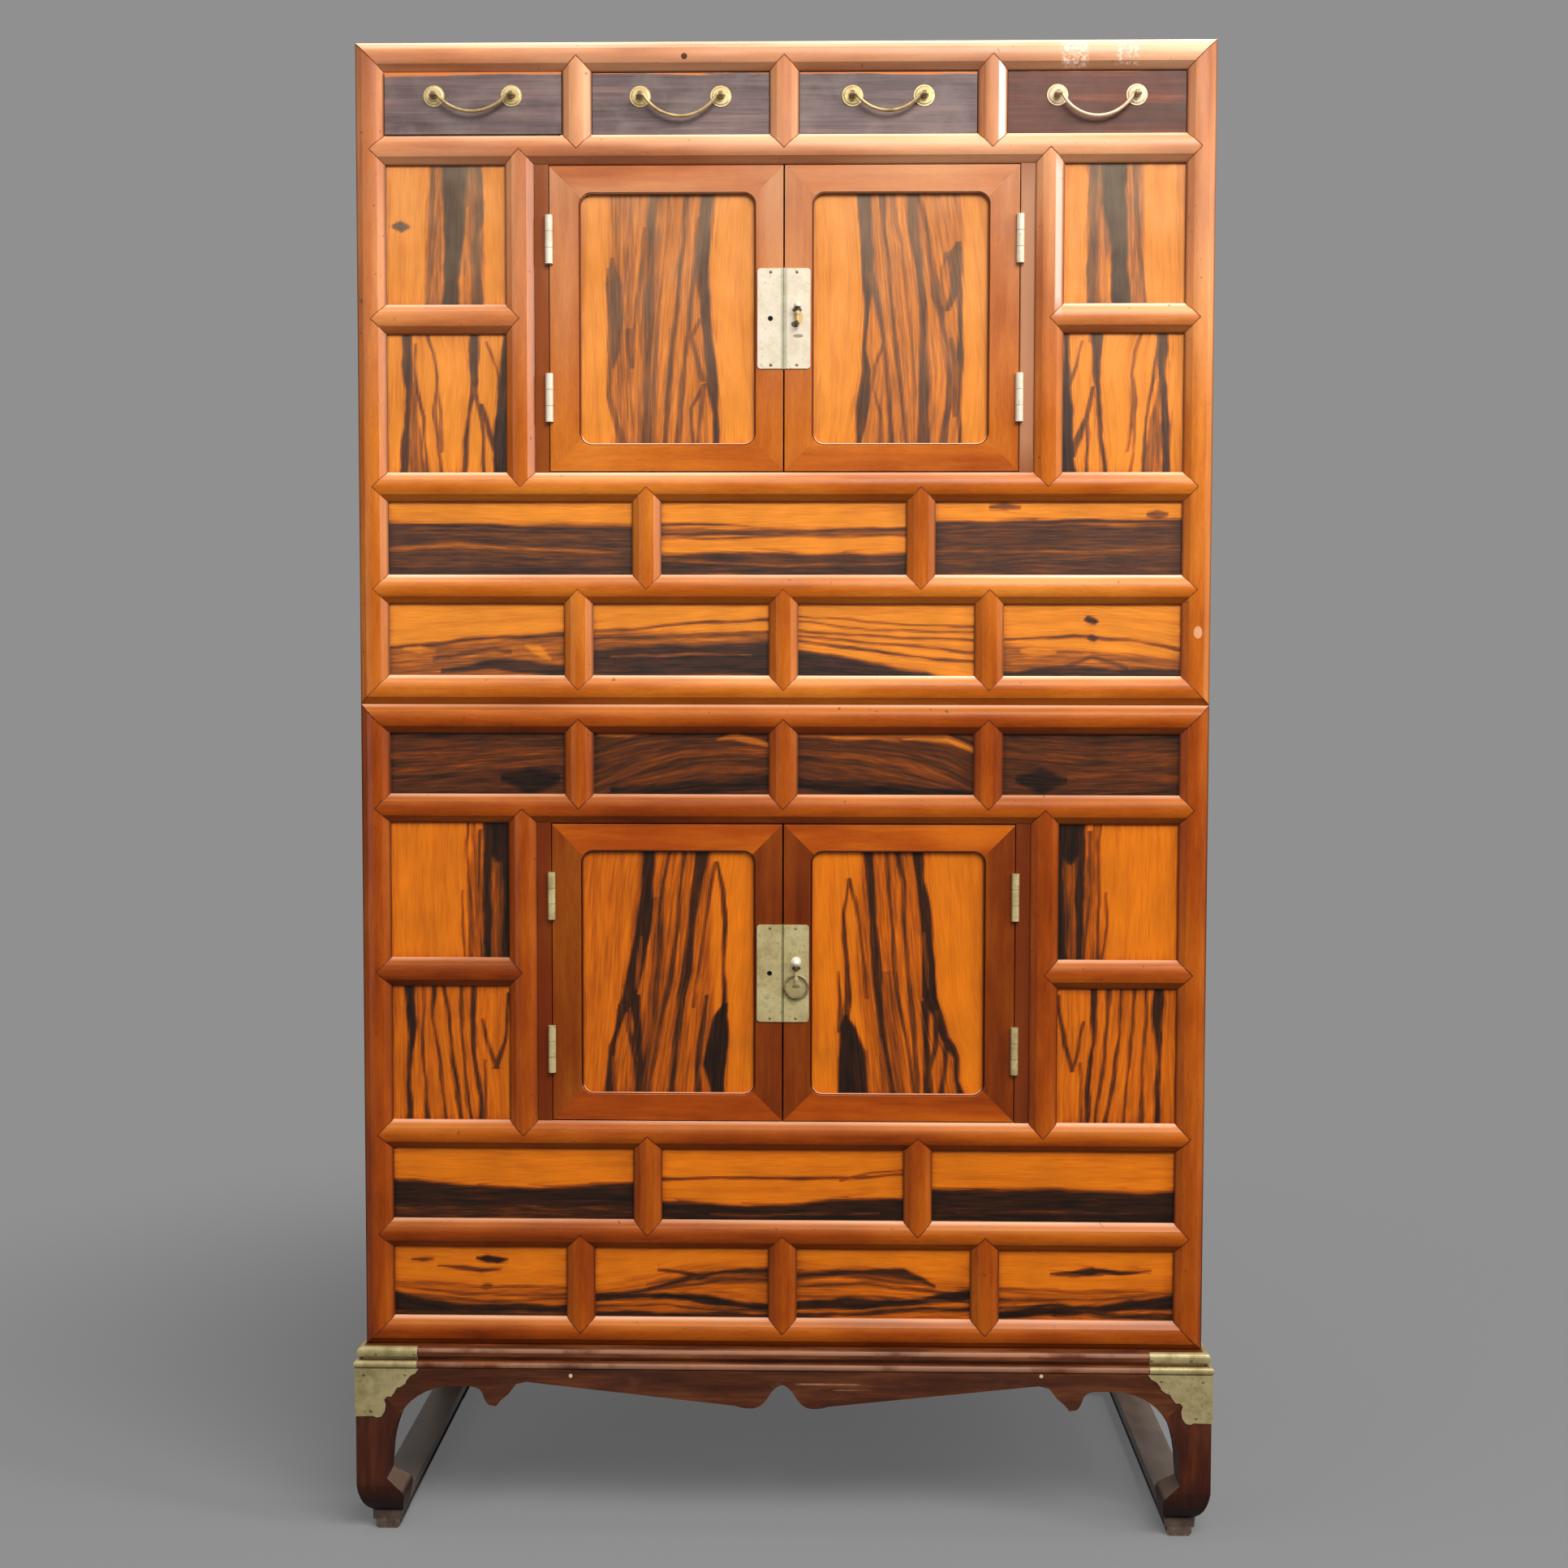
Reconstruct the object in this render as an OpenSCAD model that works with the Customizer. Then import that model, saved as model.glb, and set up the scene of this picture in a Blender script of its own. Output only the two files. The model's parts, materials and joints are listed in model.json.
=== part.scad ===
// Two-tier stacked chest: two equal cases of moulded posts and rails with figured panels,
// a row of four drawers in the upper case, paired doors in both, on a separate low stand.
// Millimetres, +Z up, the front faces -Y, the origin on the floor under the middle.

/* [Case] */
// Width of each case across its corner posts
case_w = 820; // [780:2:860]
// Depth of each case from front moulding to back
case_d = 400; // [370:2:440]
// Width of every moulded post, rail and muntin
member_w = 28; // [26:1:30]
// Thickness of the front frame
member_t = 28; // [28:1:32]
// Height of the lowest row of panels
row_c_h = 69; // [60:1:80]
// Height of the row of three panels under the doors
row_b_h = 70; // [60:1:80]
// Height of the door zone
door_zone_h = 292; // [270:2:320]
// Height of the top row, of drawers or dark panels
row_a_h = 59; // [56:1:70]

/* [Moulding] */
// Height of the moulding in front of the panels
mould_d = 9; // [8:0.5:10]
// Upright lip of the moulding beside a panel
mould_lip = 2; // [1:0.5:3]
// Width of the bevel on each side of the moulding
mould_bevel = 7; // [5:0.5:9]
// Rise of the rounded crown between the bevels
mould_crown = 1.2; // [0.6:0.2:2]

/* [Joinery] */
// Thickness of the front panels
panel_t = 8; // [7:0.5:9]
// Depth of every panel groove
groove_d = 6; // [5:0.5:7]
// Gap left for the wood to move at a panel edge
panel_gap = 0.5; // [0.3:0.1:1]
// Length of every tenon
tenon_l = 10; // [8:0.5:11]
// Thickness of every tenon
tenon_t = 8; // [6:0.5:8]
// Width of a tenon on a post, rail or muntin
tenon_w = 14; // [10:1:14]
// Hairline left at the joints between pieces of one set
hairline = 0.1; // [0.05:0.05:0.2]

/* [Sides, back and boards] */
// Thickness of the side and back rails
side_t = 18; // [17:0.5:20]
// Thickness of the side panels and back boards
side_panel_t = 8; // [7:0.5:8]
// Set-back of the side panels and back boards
side_set = 4; // [3:0.5:4]
// Thickness of the top and floor boards
board_t = 12; // [10:0.5:14]
// Thickness of the shelf that carries the drawers
shelf_t = 10; // [8:0.5:12]
// Width of the rebate that a board lies in
rebate_w = 5; // [4:0.5:5]
// Number of boards across the back
back_boards_n = 4; // [2:1:6]

/* [Doors] */
// Distance from the middle of the chest to a hinge line
door_w = 225; // [215:1:232]
// Width of the flat strip beside each door
jamb_w = 14; // [12:1:20]
// Thickness of a door
door_t = 18; // [17:0.5:20]
// Set-back of a door behind the moulding crown
door_set = 6; // [5:0.5:7]
// Set-back of the jamb strip behind the door face
jamb_set = 0.5; // [0:0.5:2]
// Gap between the two doors
meet_gap = 1.6; // [1.4:0.1:2.4]
// Gap between a door edge and its jamb
hinge_gap = 1; // [0.8:0.1:1.4]
// Gap above and below a door
door_gap = 1.2; // [0.8:0.1:2]
// Width of the door stile at the hinges
hinge_stile_w = 28; // [25:1:32]
// Width of the door stile where the doors meet
meet_stile_w = 26; // [25:1:32]
// Width of a door rail
door_rail_w = 25; // [22:1:30]
// Corner radius of the door opening
door_r = 12; // [6:1:16]
// Set-back of a door panel behind the door face
door_panel_set = 5; // [3:0.5:6]
// Thickness of a door panel
door_panel_t = 6; // [5:0.5:7]
// Height of the stop behind a door
stop_h = 5; // [4:0.5:8]
// Thickness of the stop behind a door
stop_t = 8; // [6:0.5:10]
// Clearance between a door and its stop
stop_gap = 0.3; // [0.2:0.1:0.6]

/* [Hinges] */
// Diameter of a hinge barrel
barrel_d = 7.5; // [7:0.1:8]
// Length of a hinge barrel
barrel_l = 46; // [40:1:52]
// Distance from the end of the door zone to a hinge's middle
hinge_inset = 71; // [55:1:90]
// Distance of the hinge axis in front of the door face
axis_out = 1.5; // [1.5:0.1:2]
// Diameter of the hinge pin
pin_d = 3; // [2.6:0.1:3.2]
// Running clearance round the hinge pin
pin_fit = 0.05; // [0.03:0.01:0.09]
// Clearance between the knuckles and round the barrel
barrel_gap = 0.4; // [0.3:0.1:0.6]
// Thickness of a hinge leaf
leaf_t = 1; // [0.8:0.1:1.2]
// Width of a hinge leaf let into the wood
leaf_w = 12; // [10:0.5:13]

/* [Lock plates] */
// Width of each half of the lock plate
plate_w = 24.5; // [22:0.5:25]
// Height of the lock plate
plate_h = 95; // [80:1:110]
// Thickness of the lock plate
plate_t = 1.2; // [0.8:0.1:1.6]
// Corner radius of the lock plate
plate_r = 3; // [2:0.5:5]
// Distance of the staple and the keyhole from the middle of the chest
staple_x = 13; // [12.8:0.1:14]
// Diameter of the keyhole
keyhole_d = 5; // [4:0.5:7]
// Diameter of the upright pin in the staple
bolt_d = 2.6; // [2.2:0.1:3]
// Distance of the upright pin in front of the plate
bolt_out = 5.6; // [5.4:0.1:6.4]
// Diameter of the ball on the upright pin
ball_d = 7.5; // [6:0.5:9]
// Diameter of the two lugs that hold the upright pin
lug_d = 3; // [2.4:0.1:3.4]
// Distance between the two lugs
lug_step = 9; // [8:0.5:11]
// Thickness of the collars round the upright pin
collar_t = 0.8; // [0.6:0.1:1]
// Outer diameter of the pull ring
ring_d = 24.8; // [22:0.2:25.2]
// Wire diameter of the pull ring
ring_wire = 2.4; // [2:0.1:2.6]
// Clearance between the ring and its lug
ring_gap = 0.25; // [0.2:0.05:0.4]

/* [Drawers] */
// Set-back of a drawer front behind the moulding crown
drawer_set = 8; // [6:0.5:9]
// How far the first drawer stands open
drawer_1_out = 4; // [0:0.5:5]
// Gap round a drawer front
drawer_gap = 0.6; // [0.4:0.1:1]
// Thickness of a drawer front
drawer_front_t = 14; // [12:0.5:16]
// Depth of the lap where a drawer side enters the front
lap_d = 7; // [5:0.5:9]
// Thickness of the drawer sides and back
drawer_side_t = 8; // [6:0.5:10]
// Thickness of a drawer bottom
drawer_bottom_t = 5; // [4:0.5:7]
// Height of the drawer sides above the bottom
drawer_side_h = 44; // [36:1:46]
// Length of a drawer from its front face
drawer_l = 345; // [300:5:350]
// Height of the guides between the drawers
guide_h = 14; // [10:1:20]
// Thickness of the partitions between the drawers
partition_t = 10; // [8:0.5:14]

/* [Drawer handles] */
// Diameter of a rosette
rosette_d = 20; // [16:0.5:22]
// Thickness of a rosette
rosette_t = 1.6; // [1.2:0.1:2]
// Wire diameter of a bail
bail_wire = 3.2; // [2.8:0.1:3.6]
// Distance of the bail pivot in front of the drawer face
bail_out = 6.5; // [6:0.1:7.5]
// Distance of the bail pivot under the top of the drawer opening
bail_under = 23; // [20:0.5:26]
// Outer diameter of an eye
eye_d = 6.6; // [6.2:0.1:7]
// Length of an eye
eye_l = 3.6; // [3:0.1:4.4]
// Distance between the eyes on the first drawer
bail_span_1 = 74; // [60:1:84]
// Distance between the eyes on the second drawer
bail_span_2 = 77; // [60:1:84]
// Distance between the eyes on the third drawer
bail_span_3 = 68; // [60:1:84]
// Distance between the eyes on the fourth drawer
bail_span_4 = 75; // [60:1:84]
// Drop of the bail on the first drawer
bail_drop_1 = 16; // [12:0.5:20]
// Drop of the bail on the second drawer
bail_drop_2 = 20; // [12:0.5:21]
// Drop of the bail on the third drawer
bail_drop_3 = 15.5; // [12:0.5:20]
// Drop of the bail on the fourth drawer
bail_drop_4 = 21; // [12:0.5:22]

/* [Stand] */
// Overhang of the lower bead beyond the case
stand_out = 9; // [8:0.5:12]
// Overhang of the upper bead beyond the case
bead_out = 6; // [5:0.5:7]
// Height of the upper bead
upper_bead_h = 10; // [9:0.5:12]
// Height of the groove between the beads
bead_groove_h = 3; // [2.5:0.5:4]
// Height of the lower bead
lower_bead_h = 7; // [6:0.5:9]
// Width of the top frame under the case
top_frame_w = 56; // [50:1:70]
// Height of the legs under the top frame
leg_h = 148; // [140:1:160]
// Width of a leg's square post
leg_w = 46; // [44:1:50]
// Thickness of the aprons
apron_t = 22; // [18:1:24]
// Set-back of legs and aprons behind the lower bead
apron_set = 1; // [0.9:0.1:2]
// Height of the runners under the legs
runner_h = 9; // [8:1:12]
// Width of the runners
runner_w = 37; // [34:1:40]
// Height of the pads under the runners
pad_h = 9; // [7:1:12]
// Width of the pads
pad_w = 24; // [20:1:26]
// Length of the pads
pad_l = 46; // [36:1:60]
// Set-back of the runners behind the outer faces of the legs
runner_set = 5; // [4:1:7]
// Set-back of the runners' ends behind the front and back of the legs
runner_end = 14; // [10:1:20]
// How much the runners' ends narrow under the legs
runner_taper = 8; // [6:0.5:9]
// Bevel on the inner edge of the runners and under the pads
foot_bevel = 3; // [1:0.5:4]
// Thickness of the corner brasses
brass_t = 0.8; // [0.6:0.1:0.9]
// Width of the corner brasses
brass_w = 62; // [56:1:70]
// Height of the corner brasses under the lower bead
brass_h = 49; // [44:1:54]

/* [Hidden] */
$fn = 48;
eps = 0.01;

// Colours, as the finishes show
frame_wood = [0.70, 0.36, 0.12];
panel_wood = [0.88, 0.52, 0.18];
dark_wood = [0.25, 0.15, 0.12];
stand_wood = [0.28, 0.13, 0.07];
plain_wood = [0.66, 0.50, 0.33];
brass = [0.80, 0.72, 0.48];

// Heights of the rows, from the bottom of a case
row_c_z = member_w;
row_b_z = row_c_z + row_c_h + member_w;
door_z = row_b_z + row_b_h + member_w;
row_a_z = door_z + door_zone_h + member_w;
case_h = row_a_z + row_a_h + member_w;
stand_h = upper_bead_h + bead_groove_h + lower_bead_h + leg_h + runner_h + pad_h;
lower_z = stand_h;
upper_z = stand_h + case_h;

// Places across the front
front_y = -case_d / 2;
back_y = case_d / 2;
inner_w = case_w - 2 * member_w;
stile_x = door_w + jamb_w + member_w / 2;
function muntins(n) = [for (i = [1 : n - 1]) (i / n - 0.5) * (inner_w + member_w)];
muntins_4 = muntins(4);
muntins_3 = muntins(3);
short_z = door_z + (door_zone_h - member_w) / 2;
short_x = [stile_x + member_w / 2, inner_w / 2];
rail_edges = [row_c_z + row_c_h, row_b_z + row_b_h, door_z + door_zone_h];
side_rail_edges = [0, row_b_z + row_b_h, door_z + door_zone_h, case_h - member_w];
back_rail_edges = [0, door_z + door_zone_h, case_h - member_w];

// Upright dividers as [middle, foot, head] and short rails as [side, foot]
dividers = concat([for (x = muntins_4) [x, row_c_z, row_c_z + row_c_h]],
                  [for (x = muntins_3) [x, row_b_z, row_b_z + row_b_h]],
                  [for (s = [-1, 1]) [s * stile_x, door_z, door_z + door_zone_h]],
                  [for (x = muntins_4) [x, row_a_z, row_a_z + row_a_h]]);

// Openings as [left, foot, right, head]
function row(xs, z, h) =
    let (e = concat([-inner_w / 2 - member_w / 2], xs, [inner_w / 2 + member_w / 2]))
    [for (i = [0 : len(e) - 2]) [e[i] + member_w / 2, z, e[i + 1] - member_w / 2, z + h]];
function column(s, z, h) =
    [min(s * short_x[0], s * short_x[1]), z, max(s * short_x[0], s * short_x[1]), z + h];
column_h = short_z - door_z;
figured_openings = concat(row(muntins_4, row_c_z, row_c_h), row(muntins_3, row_b_z, row_b_h),
                          [for (s = [-1, 1]) column(s, door_z, column_h)],
                          [for (s = [-1, 1]) column(s, short_z + member_w, column_h)]);
dark_openings = row(muntins_4, row_a_z, row_a_h);

// Depths behind the crown of the moulding
tenon_d = mould_d + 4;
door_back_d = door_set + door_t;
axis_y = front_y + door_set - axis_out;
door_h = door_zone_h - 2 * door_gap;
drawer_w = (inner_w - 3 * member_w) / 4 - 2 * drawer_gap;
drawer_h = row_a_h - 2 * drawer_gap;
drawer_xs = [for (o = dark_openings) (o[0] + o[2]) / 2];
bail_spans = [bail_span_1, bail_span_2, bail_span_3, bail_span_4];
bail_drops = [bail_drop_1, bail_drop_2, bail_drop_3, bail_drop_4];
pivot_z = upper_z + row_a_z + row_a_h - bail_under;

// Stand levels and half sizes
top_frame_h = upper_bead_h + bead_groove_h + lower_bead_h;
leg_top_z = stand_h - top_frame_h;
leg_foot_z = runner_h + pad_h;
stand_x = case_w / 2 + stand_out - apron_set;
stand_y = case_d / 2 + stand_out - apron_set;

// Points of a quadratic curve from a to c, pulled towards b, without its first point
function curve(a, b, c, n = 6) =
    [for (i = [1 : n]) let (t = i / n) (1 - t) * (1 - t) * a + 2 * t * (1 - t) * b + t * t * c];

// Stands a flat outline up in the front plane, between two depths behind the crown
module upright(d0, d1) {
    translate([0, front_y + d1, 0])
        rotate([90, 0, 0])
            linear_extrude(d1 - d0)
                children();
}

module box(x0, x1, y0, y1, z0, z1) {
    translate([x0, y0, z0])
        cube([x1 - x0, y1 - y0, z1 - z0]);
}

// A box of the front frame: across, up, and between two depths behind the crown
module slab(x0, x1, z0, z1, d0, d1) {
    box(x0, x1, front_y + d0, front_y + d1, z0, z1);
}

module both_sides() {
    children();
    mirror([1, 0, 0])
        children();
}

module tier(z) {
    translate([0, 0, z])
        children();
}

// Section of the moulding: lips, bevels and a rounded crown
function crown_points(w, n = 8) =
    let (c = w / 2 - mould_bevel)
    [for (i = [0 : n]) let (u = (2 * i / n - 1) * c) [u, front_y + mould_crown * pow(u / c, 2)]];
function moulding_points(w) =
    concat([[-w / 2, front_y + mould_d], [-w / 2, front_y + mould_d - mould_lip]],
           crown_points(w),
           [[w / 2, front_y + mould_d - mould_lip], [w / 2, front_y + mould_d]]);

module upright_moulding(x, z0, z1) {
    translate([x, 0, z0])
        linear_extrude(z1 - z0)
            polygon(moulding_points(member_w));
}

module level_moulding(z, x0, x1) {
    translate([x0, 0, z])
        rotate([0, 90, 0])
            linear_extrude(x1 - x0)
                polygon(moulding_points(member_w));
}

// Front outlines of the moulded members, with mitred ends that reach a centre line
module divider_outline(v) {
    h = member_w / 2;
    polygon([[v[0] - h, v[1]], [v[0], v[1] - h], [v[0] + h, v[1]],
             [v[0] + h, v[2]], [v[0], v[2] + h], [v[0] - h, v[2]]]);
}

module level_outline(x0, x1, z) {
    h = member_w / 2;
    polygon([[x0, z], [x1, z], [x1 + h, z + h], [x1, z + 2 * h], [x0, z + 2 * h], [x0 - h, z + h]]);
}

module end_rail_outline(z, up) {
    h = member_w;
    outer = up ? z + h : z;
    inner = up ? z : z + h;
    polygon([[-case_w / 2, outer], [case_w / 2, outer],
             [case_w / 2 - h, inner], [-case_w / 2 + h, inner]]);
}

module all_level_outlines() {
    end_rail_outline(0, false);
    end_rail_outline(case_h - member_w, true);
    for (z = rail_edges)
        level_outline(-inner_w / 2, inner_w / 2, z);
    short_outlines();
}

module short_outlines(gap = 0) {
    both_sides()
        level_outline(short_x[0] + gap, short_x[1] - gap, short_z);
}

// Grooves and the panels that stand in them, for a list of openings
module grooves(openings) {
    for (o = openings)
        slab(o[0] - groove_d, o[2] + groove_d, o[1] - groove_d, o[3] + groove_d,
             mould_d, mould_d + panel_t);
}

module panels(openings) {
    e = groove_d - panel_gap;
    for (o = openings)
        slab(o[0] - e, o[2] + e, o[1] - e, o[3] + e, mould_d, mould_d + panel_t);
}

// Tenons of the level rails in the posts, and of the dividers in the rails
module rail_tenons(z) {
    m = z + member_w / 2;
    both_sides()
        slab(inner_w / 2, inner_w / 2 + tenon_l, m - tenon_w / 2, m + tenon_w / 2,
             tenon_d, tenon_d + tenon_t);
}

module divider_tenons(v) {
    for (e = [[v[1] - tenon_l, v[1]], [v[2], v[2] + tenon_l]])
        slab(v[0] - tenon_w / 2, v[0] + tenon_w / 2, e[0], e[1], tenon_d, tenon_d + tenon_t);
}

module short_tenons(gap = 0) {
    m = short_z + member_w / 2;
    w = tenon_w / 2 + gap;
    both_sides()
        slab(short_x[0] - tenon_l - gap, short_x[1] + tenon_l + gap, m - w, m + w,
             tenon_d - gap, tenon_d + tenon_t + gap);
}

// Boards that lie in rebates of the rails: top, floor and drawer shelf
module board(z, t) {
    wide = case_w / 2 - side_t + rebate_w;
    translate([0, 0, z - t])
        linear_extrude(t)
            union() {
                translate([-wide, front_y + member_t])
                    square([2 * wide, case_d - 2 * member_t]);
                translate([-inner_w / 2, front_y + member_t - rebate_w])
                    square([inner_w, case_d - member_t - side_t + 2 * rebate_w]);
            }
}

module all_boards(shelf) {
    board(case_h, board_t);
    board(member_w, board_t);
    if (shelf)
        board(row_a_z, shelf_t);
}

// Side frames: rails between the posts, with panels in grooves
module side_rail_tenons() {
    x = case_w / 2 - side_t / 2;
    both_sides()
        for (z = side_rail_edges)
            for (y = [front_y + member_t - tenon_l, back_y - member_t])
                box(x - tenon_t / 2, x + tenon_t / 2, y, y + tenon_l,
                    z + (member_w - tenon_w) / 2, z + (member_w + tenon_w) / 2);
}

module side_panel_fields(e, gap = 0) {
    x = case_w / 2 - side_set;
    both_sides()
        for (i = [0 : len(side_rail_edges) - 2])
            box(x - side_panel_t - gap, x + gap, front_y + member_t - e, back_y - member_t + e,
                side_rail_edges[i] + member_w - e, side_rail_edges[i + 1] + e);
}

module back_rail_tenons() {
    y = back_y - side_t / 2;
    both_sides()
        for (z = back_rail_edges)
            box(inner_w / 2, inner_w / 2 + tenon_l, y - tenon_t / 2, y + tenon_t / 2,
                z + (member_w - tenon_w) / 2, z + (member_w + tenon_w) / 2);
}

module back_fields(e, gap = 0) {
    y = back_y - side_set;
    for (i = [0 : len(back_rail_edges) - 2])
        box(-inner_w / 2 - e, inner_w / 2 + e, y - side_panel_t - gap, y + gap,
            back_rail_edges[i] + member_w - e, back_rail_edges[i + 1] + e);
}

// Corner posts, the front pair moulded
module front_post_moulding() {
    intersection() {
        upright_moulding((inner_w + member_w) / 2, 0, case_h);
        upright(0, mould_d)
            difference() {
                translate([inner_w / 2, 0])
                    square([member_w, case_h]);
                all_level_outlines();
            }
    }
}

module posts(openings) {
    color(frame_wood)
        difference() {
            both_sides() {
                union() {
                    front_post_moulding();
                    slab(inner_w / 2, case_w / 2, 0, case_h, mould_d, member_t);
                }
                box(inner_w / 2, case_w / 2, back_y - member_t, back_y, 0, case_h);
            }
            grooves(openings);
            for (z = concat([0, case_h - member_w], rail_edges))
                rail_tenons(z);
            short_tenons();
            side_rail_tenons();
            side_panel_fields(groove_d);
            back_rail_tenons();
            back_fields(groove_d);
        }
}

// The five full-width rails of the front, and the stops behind the doors
module end_rail_moulding(z, up) {
    intersection() {
        level_moulding(z + member_w / 2, -case_w / 2, case_w / 2);
        upright(0, mould_d)
            difference() {
                end_rail_outline(z, up);
                for (v = dividers)
                    divider_outline(v);
            }
    }
}

module rail_moulding(z) {
    intersection() {
        level_moulding(z + member_w / 2, -case_w / 2, case_w / 2);
        upright(0, mould_d)
            difference() {
                level_outline(-inner_w / 2, inner_w / 2, z);
                for (v = dividers)
                    divider_outline(v);
            }
    }
}

module rail_body(z) {
    slab(-inner_w / 2, inner_w / 2, z, z + member_w, mould_d, member_t);
    rail_tenons(z);
}

module front_rails(openings, shelf) {
    color(frame_wood) {
        difference() {
            union() {
                for (z = rail_edges) {
                    rail_moulding(z);
                    rail_body(z);
                }
                end_rail_moulding(0, false);
                rail_body(0);
                end_rail_moulding(case_h - member_w, true);
                rail_body(case_h - member_w);
            }
            grooves(openings);
            for (v = dividers)
                divider_tenons(v);
            all_boards(shelf);
        }
        for (z = [door_z + hairline, door_z + door_zone_h - stop_h - hairline])
            slab(-door_w, door_w, z, z + stop_h, door_back_d + stop_gap,
                 door_back_d + stop_gap + stop_t);
    }
}

// Muntins, stiles, short rails and the flat jamb strips
module divider(v) {
    intersection() {
        upright_moulding(v[0], v[1] - member_w, v[2] + member_w);
        upright(0, mould_d)
            difference() {
                divider_outline(v);
                short_outlines(-hairline);
            }
    }
    slab(v[0] - member_w / 2, v[0] + member_w / 2, v[1], v[2], mould_d, member_t);
    divider_tenons(v);
}

module short_rails() {
    d = mould_d - hairline;
    intersection() {
        level_moulding(short_z + member_w / 2, -case_w / 2, case_w / 2);
        upright(0, d)
            short_outlines();
    }
    both_sides()
        slab(short_x[0] + hairline, short_x[1], short_z, short_z + member_w, d, member_t);
    short_tenons();
}

module jamb_strip() {
    difference() {
        slab(door_w + hinge_gap / 2, door_w + jamb_w - hairline, door_z, door_z + door_zone_h,
             door_set + jamb_set, member_t);
        at_hinges()
            hinge_recess(1);
    }
}

module front_dividers(openings) {
    color(frame_wood) {
        difference() {
            for (v = dividers)
                divider(v);
            grooves(openings);
            short_tenons(hairline);
        }
        difference() {
            short_rails();
            grooves(openings);
        }
        both_sides()
            jamb_strip();
    }
}

module side_rails(shelf) {
    color(frame_wood)
        difference() {
            union() {
                both_sides()
                    for (z = side_rail_edges)
                        box(case_w / 2 - side_t, case_w / 2, front_y + member_t, back_y - member_t,
                            z, z + member_w);
                side_rail_tenons();
            }
            side_panel_fields(groove_d);
            all_boards(shelf);
        }
}

module side_panels() {
    color(panel_wood)
        side_panel_fields(groove_d - panel_gap);
}

// Back rails and the upright boards between them
module back(shelf) {
    color(plain_wood) {
        difference() {
            union() {
                for (z = back_rail_edges)
                    box(-inner_w / 2, inner_w / 2, back_y - side_t, back_y, z, z + member_w);
                back_rail_tenons();
            }
            back_fields(groove_d, hairline);
            all_boards(shelf);
        }
        pitch = (inner_w + 2 * (groove_d - panel_gap)) / back_boards_n;
        for (i = [0 : back_boards_n - 1])
            intersection() {
                back_fields(groove_d - panel_gap);
                box((i - back_boards_n / 2) * pitch + hairline / 2,
                    (i + 1 - back_boards_n / 2) * pitch - hairline / 2, 0, back_y, 0, case_h);
            }
    }
}

// Hinges: a fixed leaf with two knuckles and the pin, a moving leaf with the middle knuckle
module at_hinges() {
    for (z = [door_z + hinge_inset, door_z + door_zone_h - hinge_inset])
        translate([door_w, axis_y, z])
            children();
}

knuckle_l = (barrel_l - 2 * barrel_gap) / 3;
leaf_y = barrel_d / 2 + barrel_gap;

// Side 1 is the jamb, side -1 the door
module leaf(side) {
    translate([side * (hinge_gap + leaf_t) / 2 - leaf_t / 2, leaf_y, -barrel_l / 2])
        cube([leaf_t, leaf_w, barrel_l]);
}

module leaf_web(side, z0, z1) {
    translate([side * (hinge_gap + leaf_t) / 2 - leaf_t / 2, 0, z0])
        cube([leaf_t, leaf_y + eps, z1 - z0]);
}

module hinge_recess(side) {
    leaf(side);
    leaf_web(side, -barrel_l / 2, barrel_l / 2);
    translate([0, 0, -barrel_l / 2 - barrel_gap])
        cylinder(d = barrel_d + 2 * barrel_gap, h = barrel_l + 2 * barrel_gap);
}

module fixed_hinge() {
    z = knuckle_l / 2 + barrel_gap;
    leaf(1);
    for (s = [-1, 1]) {
        translate([0, 0, s * (z + knuckle_l / 2) - knuckle_l / 2])
            cylinder(d = barrel_d, h = knuckle_l);
        leaf_web(1, s * (z + knuckle_l / 2) - knuckle_l / 2,
                 s * (z + knuckle_l / 2) + knuckle_l / 2);
    }
    translate([0, 0, -barrel_l / 2])
        cylinder(d = pin_d, h = barrel_l);
}

module moving_hinge() {
    difference() {
        union() {
            leaf(-1);
            leaf_web(-1, -knuckle_l / 2, knuckle_l / 2);
            translate([0, 0, -knuckle_l / 2])
                cylinder(d = barrel_d, h = knuckle_l);
        }
        translate([0, 0, -barrel_l / 2])
            cylinder(d = pin_d + 2 * pin_fit, h = barrel_l);
    }
}

module hinge_leaves() {
    color(brass)
        both_sides()
            at_hinges()
                fixed_hinge();
}

// Doors, drawn on the right; each leaf of the frame is mitred at the corners
door_x = [meet_gap / 2, door_w - hinge_gap / 2];
door_zs = [door_z + door_gap, door_z + door_gap + door_h];
opening_x = [door_x[0] + meet_stile_w, door_x[1] - hinge_stile_w];
opening_zs = [door_zs[0] + door_rail_w, door_zs[1] - door_rail_w];

module door_opening() {
    for (x = [opening_x[0] + door_r, opening_x[1] - door_r])
        for (z = [opening_zs[0] + door_r, opening_zs[1] - door_r])
            translate([x, z])
                circle(r = door_r);
    translate([opening_x[0] + door_r, opening_zs[0]])
        square([opening_x[1] - opening_x[0] - 2 * door_r, opening_zs[1] - opening_zs[0]]);
    translate([opening_x[0], opening_zs[0] + door_r])
        square([opening_x[1] - opening_x[0], opening_zs[1] - opening_zs[0] - 2 * door_r]);
}

module door_panel_field(e) {
    slab(opening_x[0] - e, opening_x[1] + e, opening_zs[0] - e, opening_zs[1] + e,
         door_set + door_panel_set, door_set + door_panel_set + door_panel_t);
}

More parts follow.
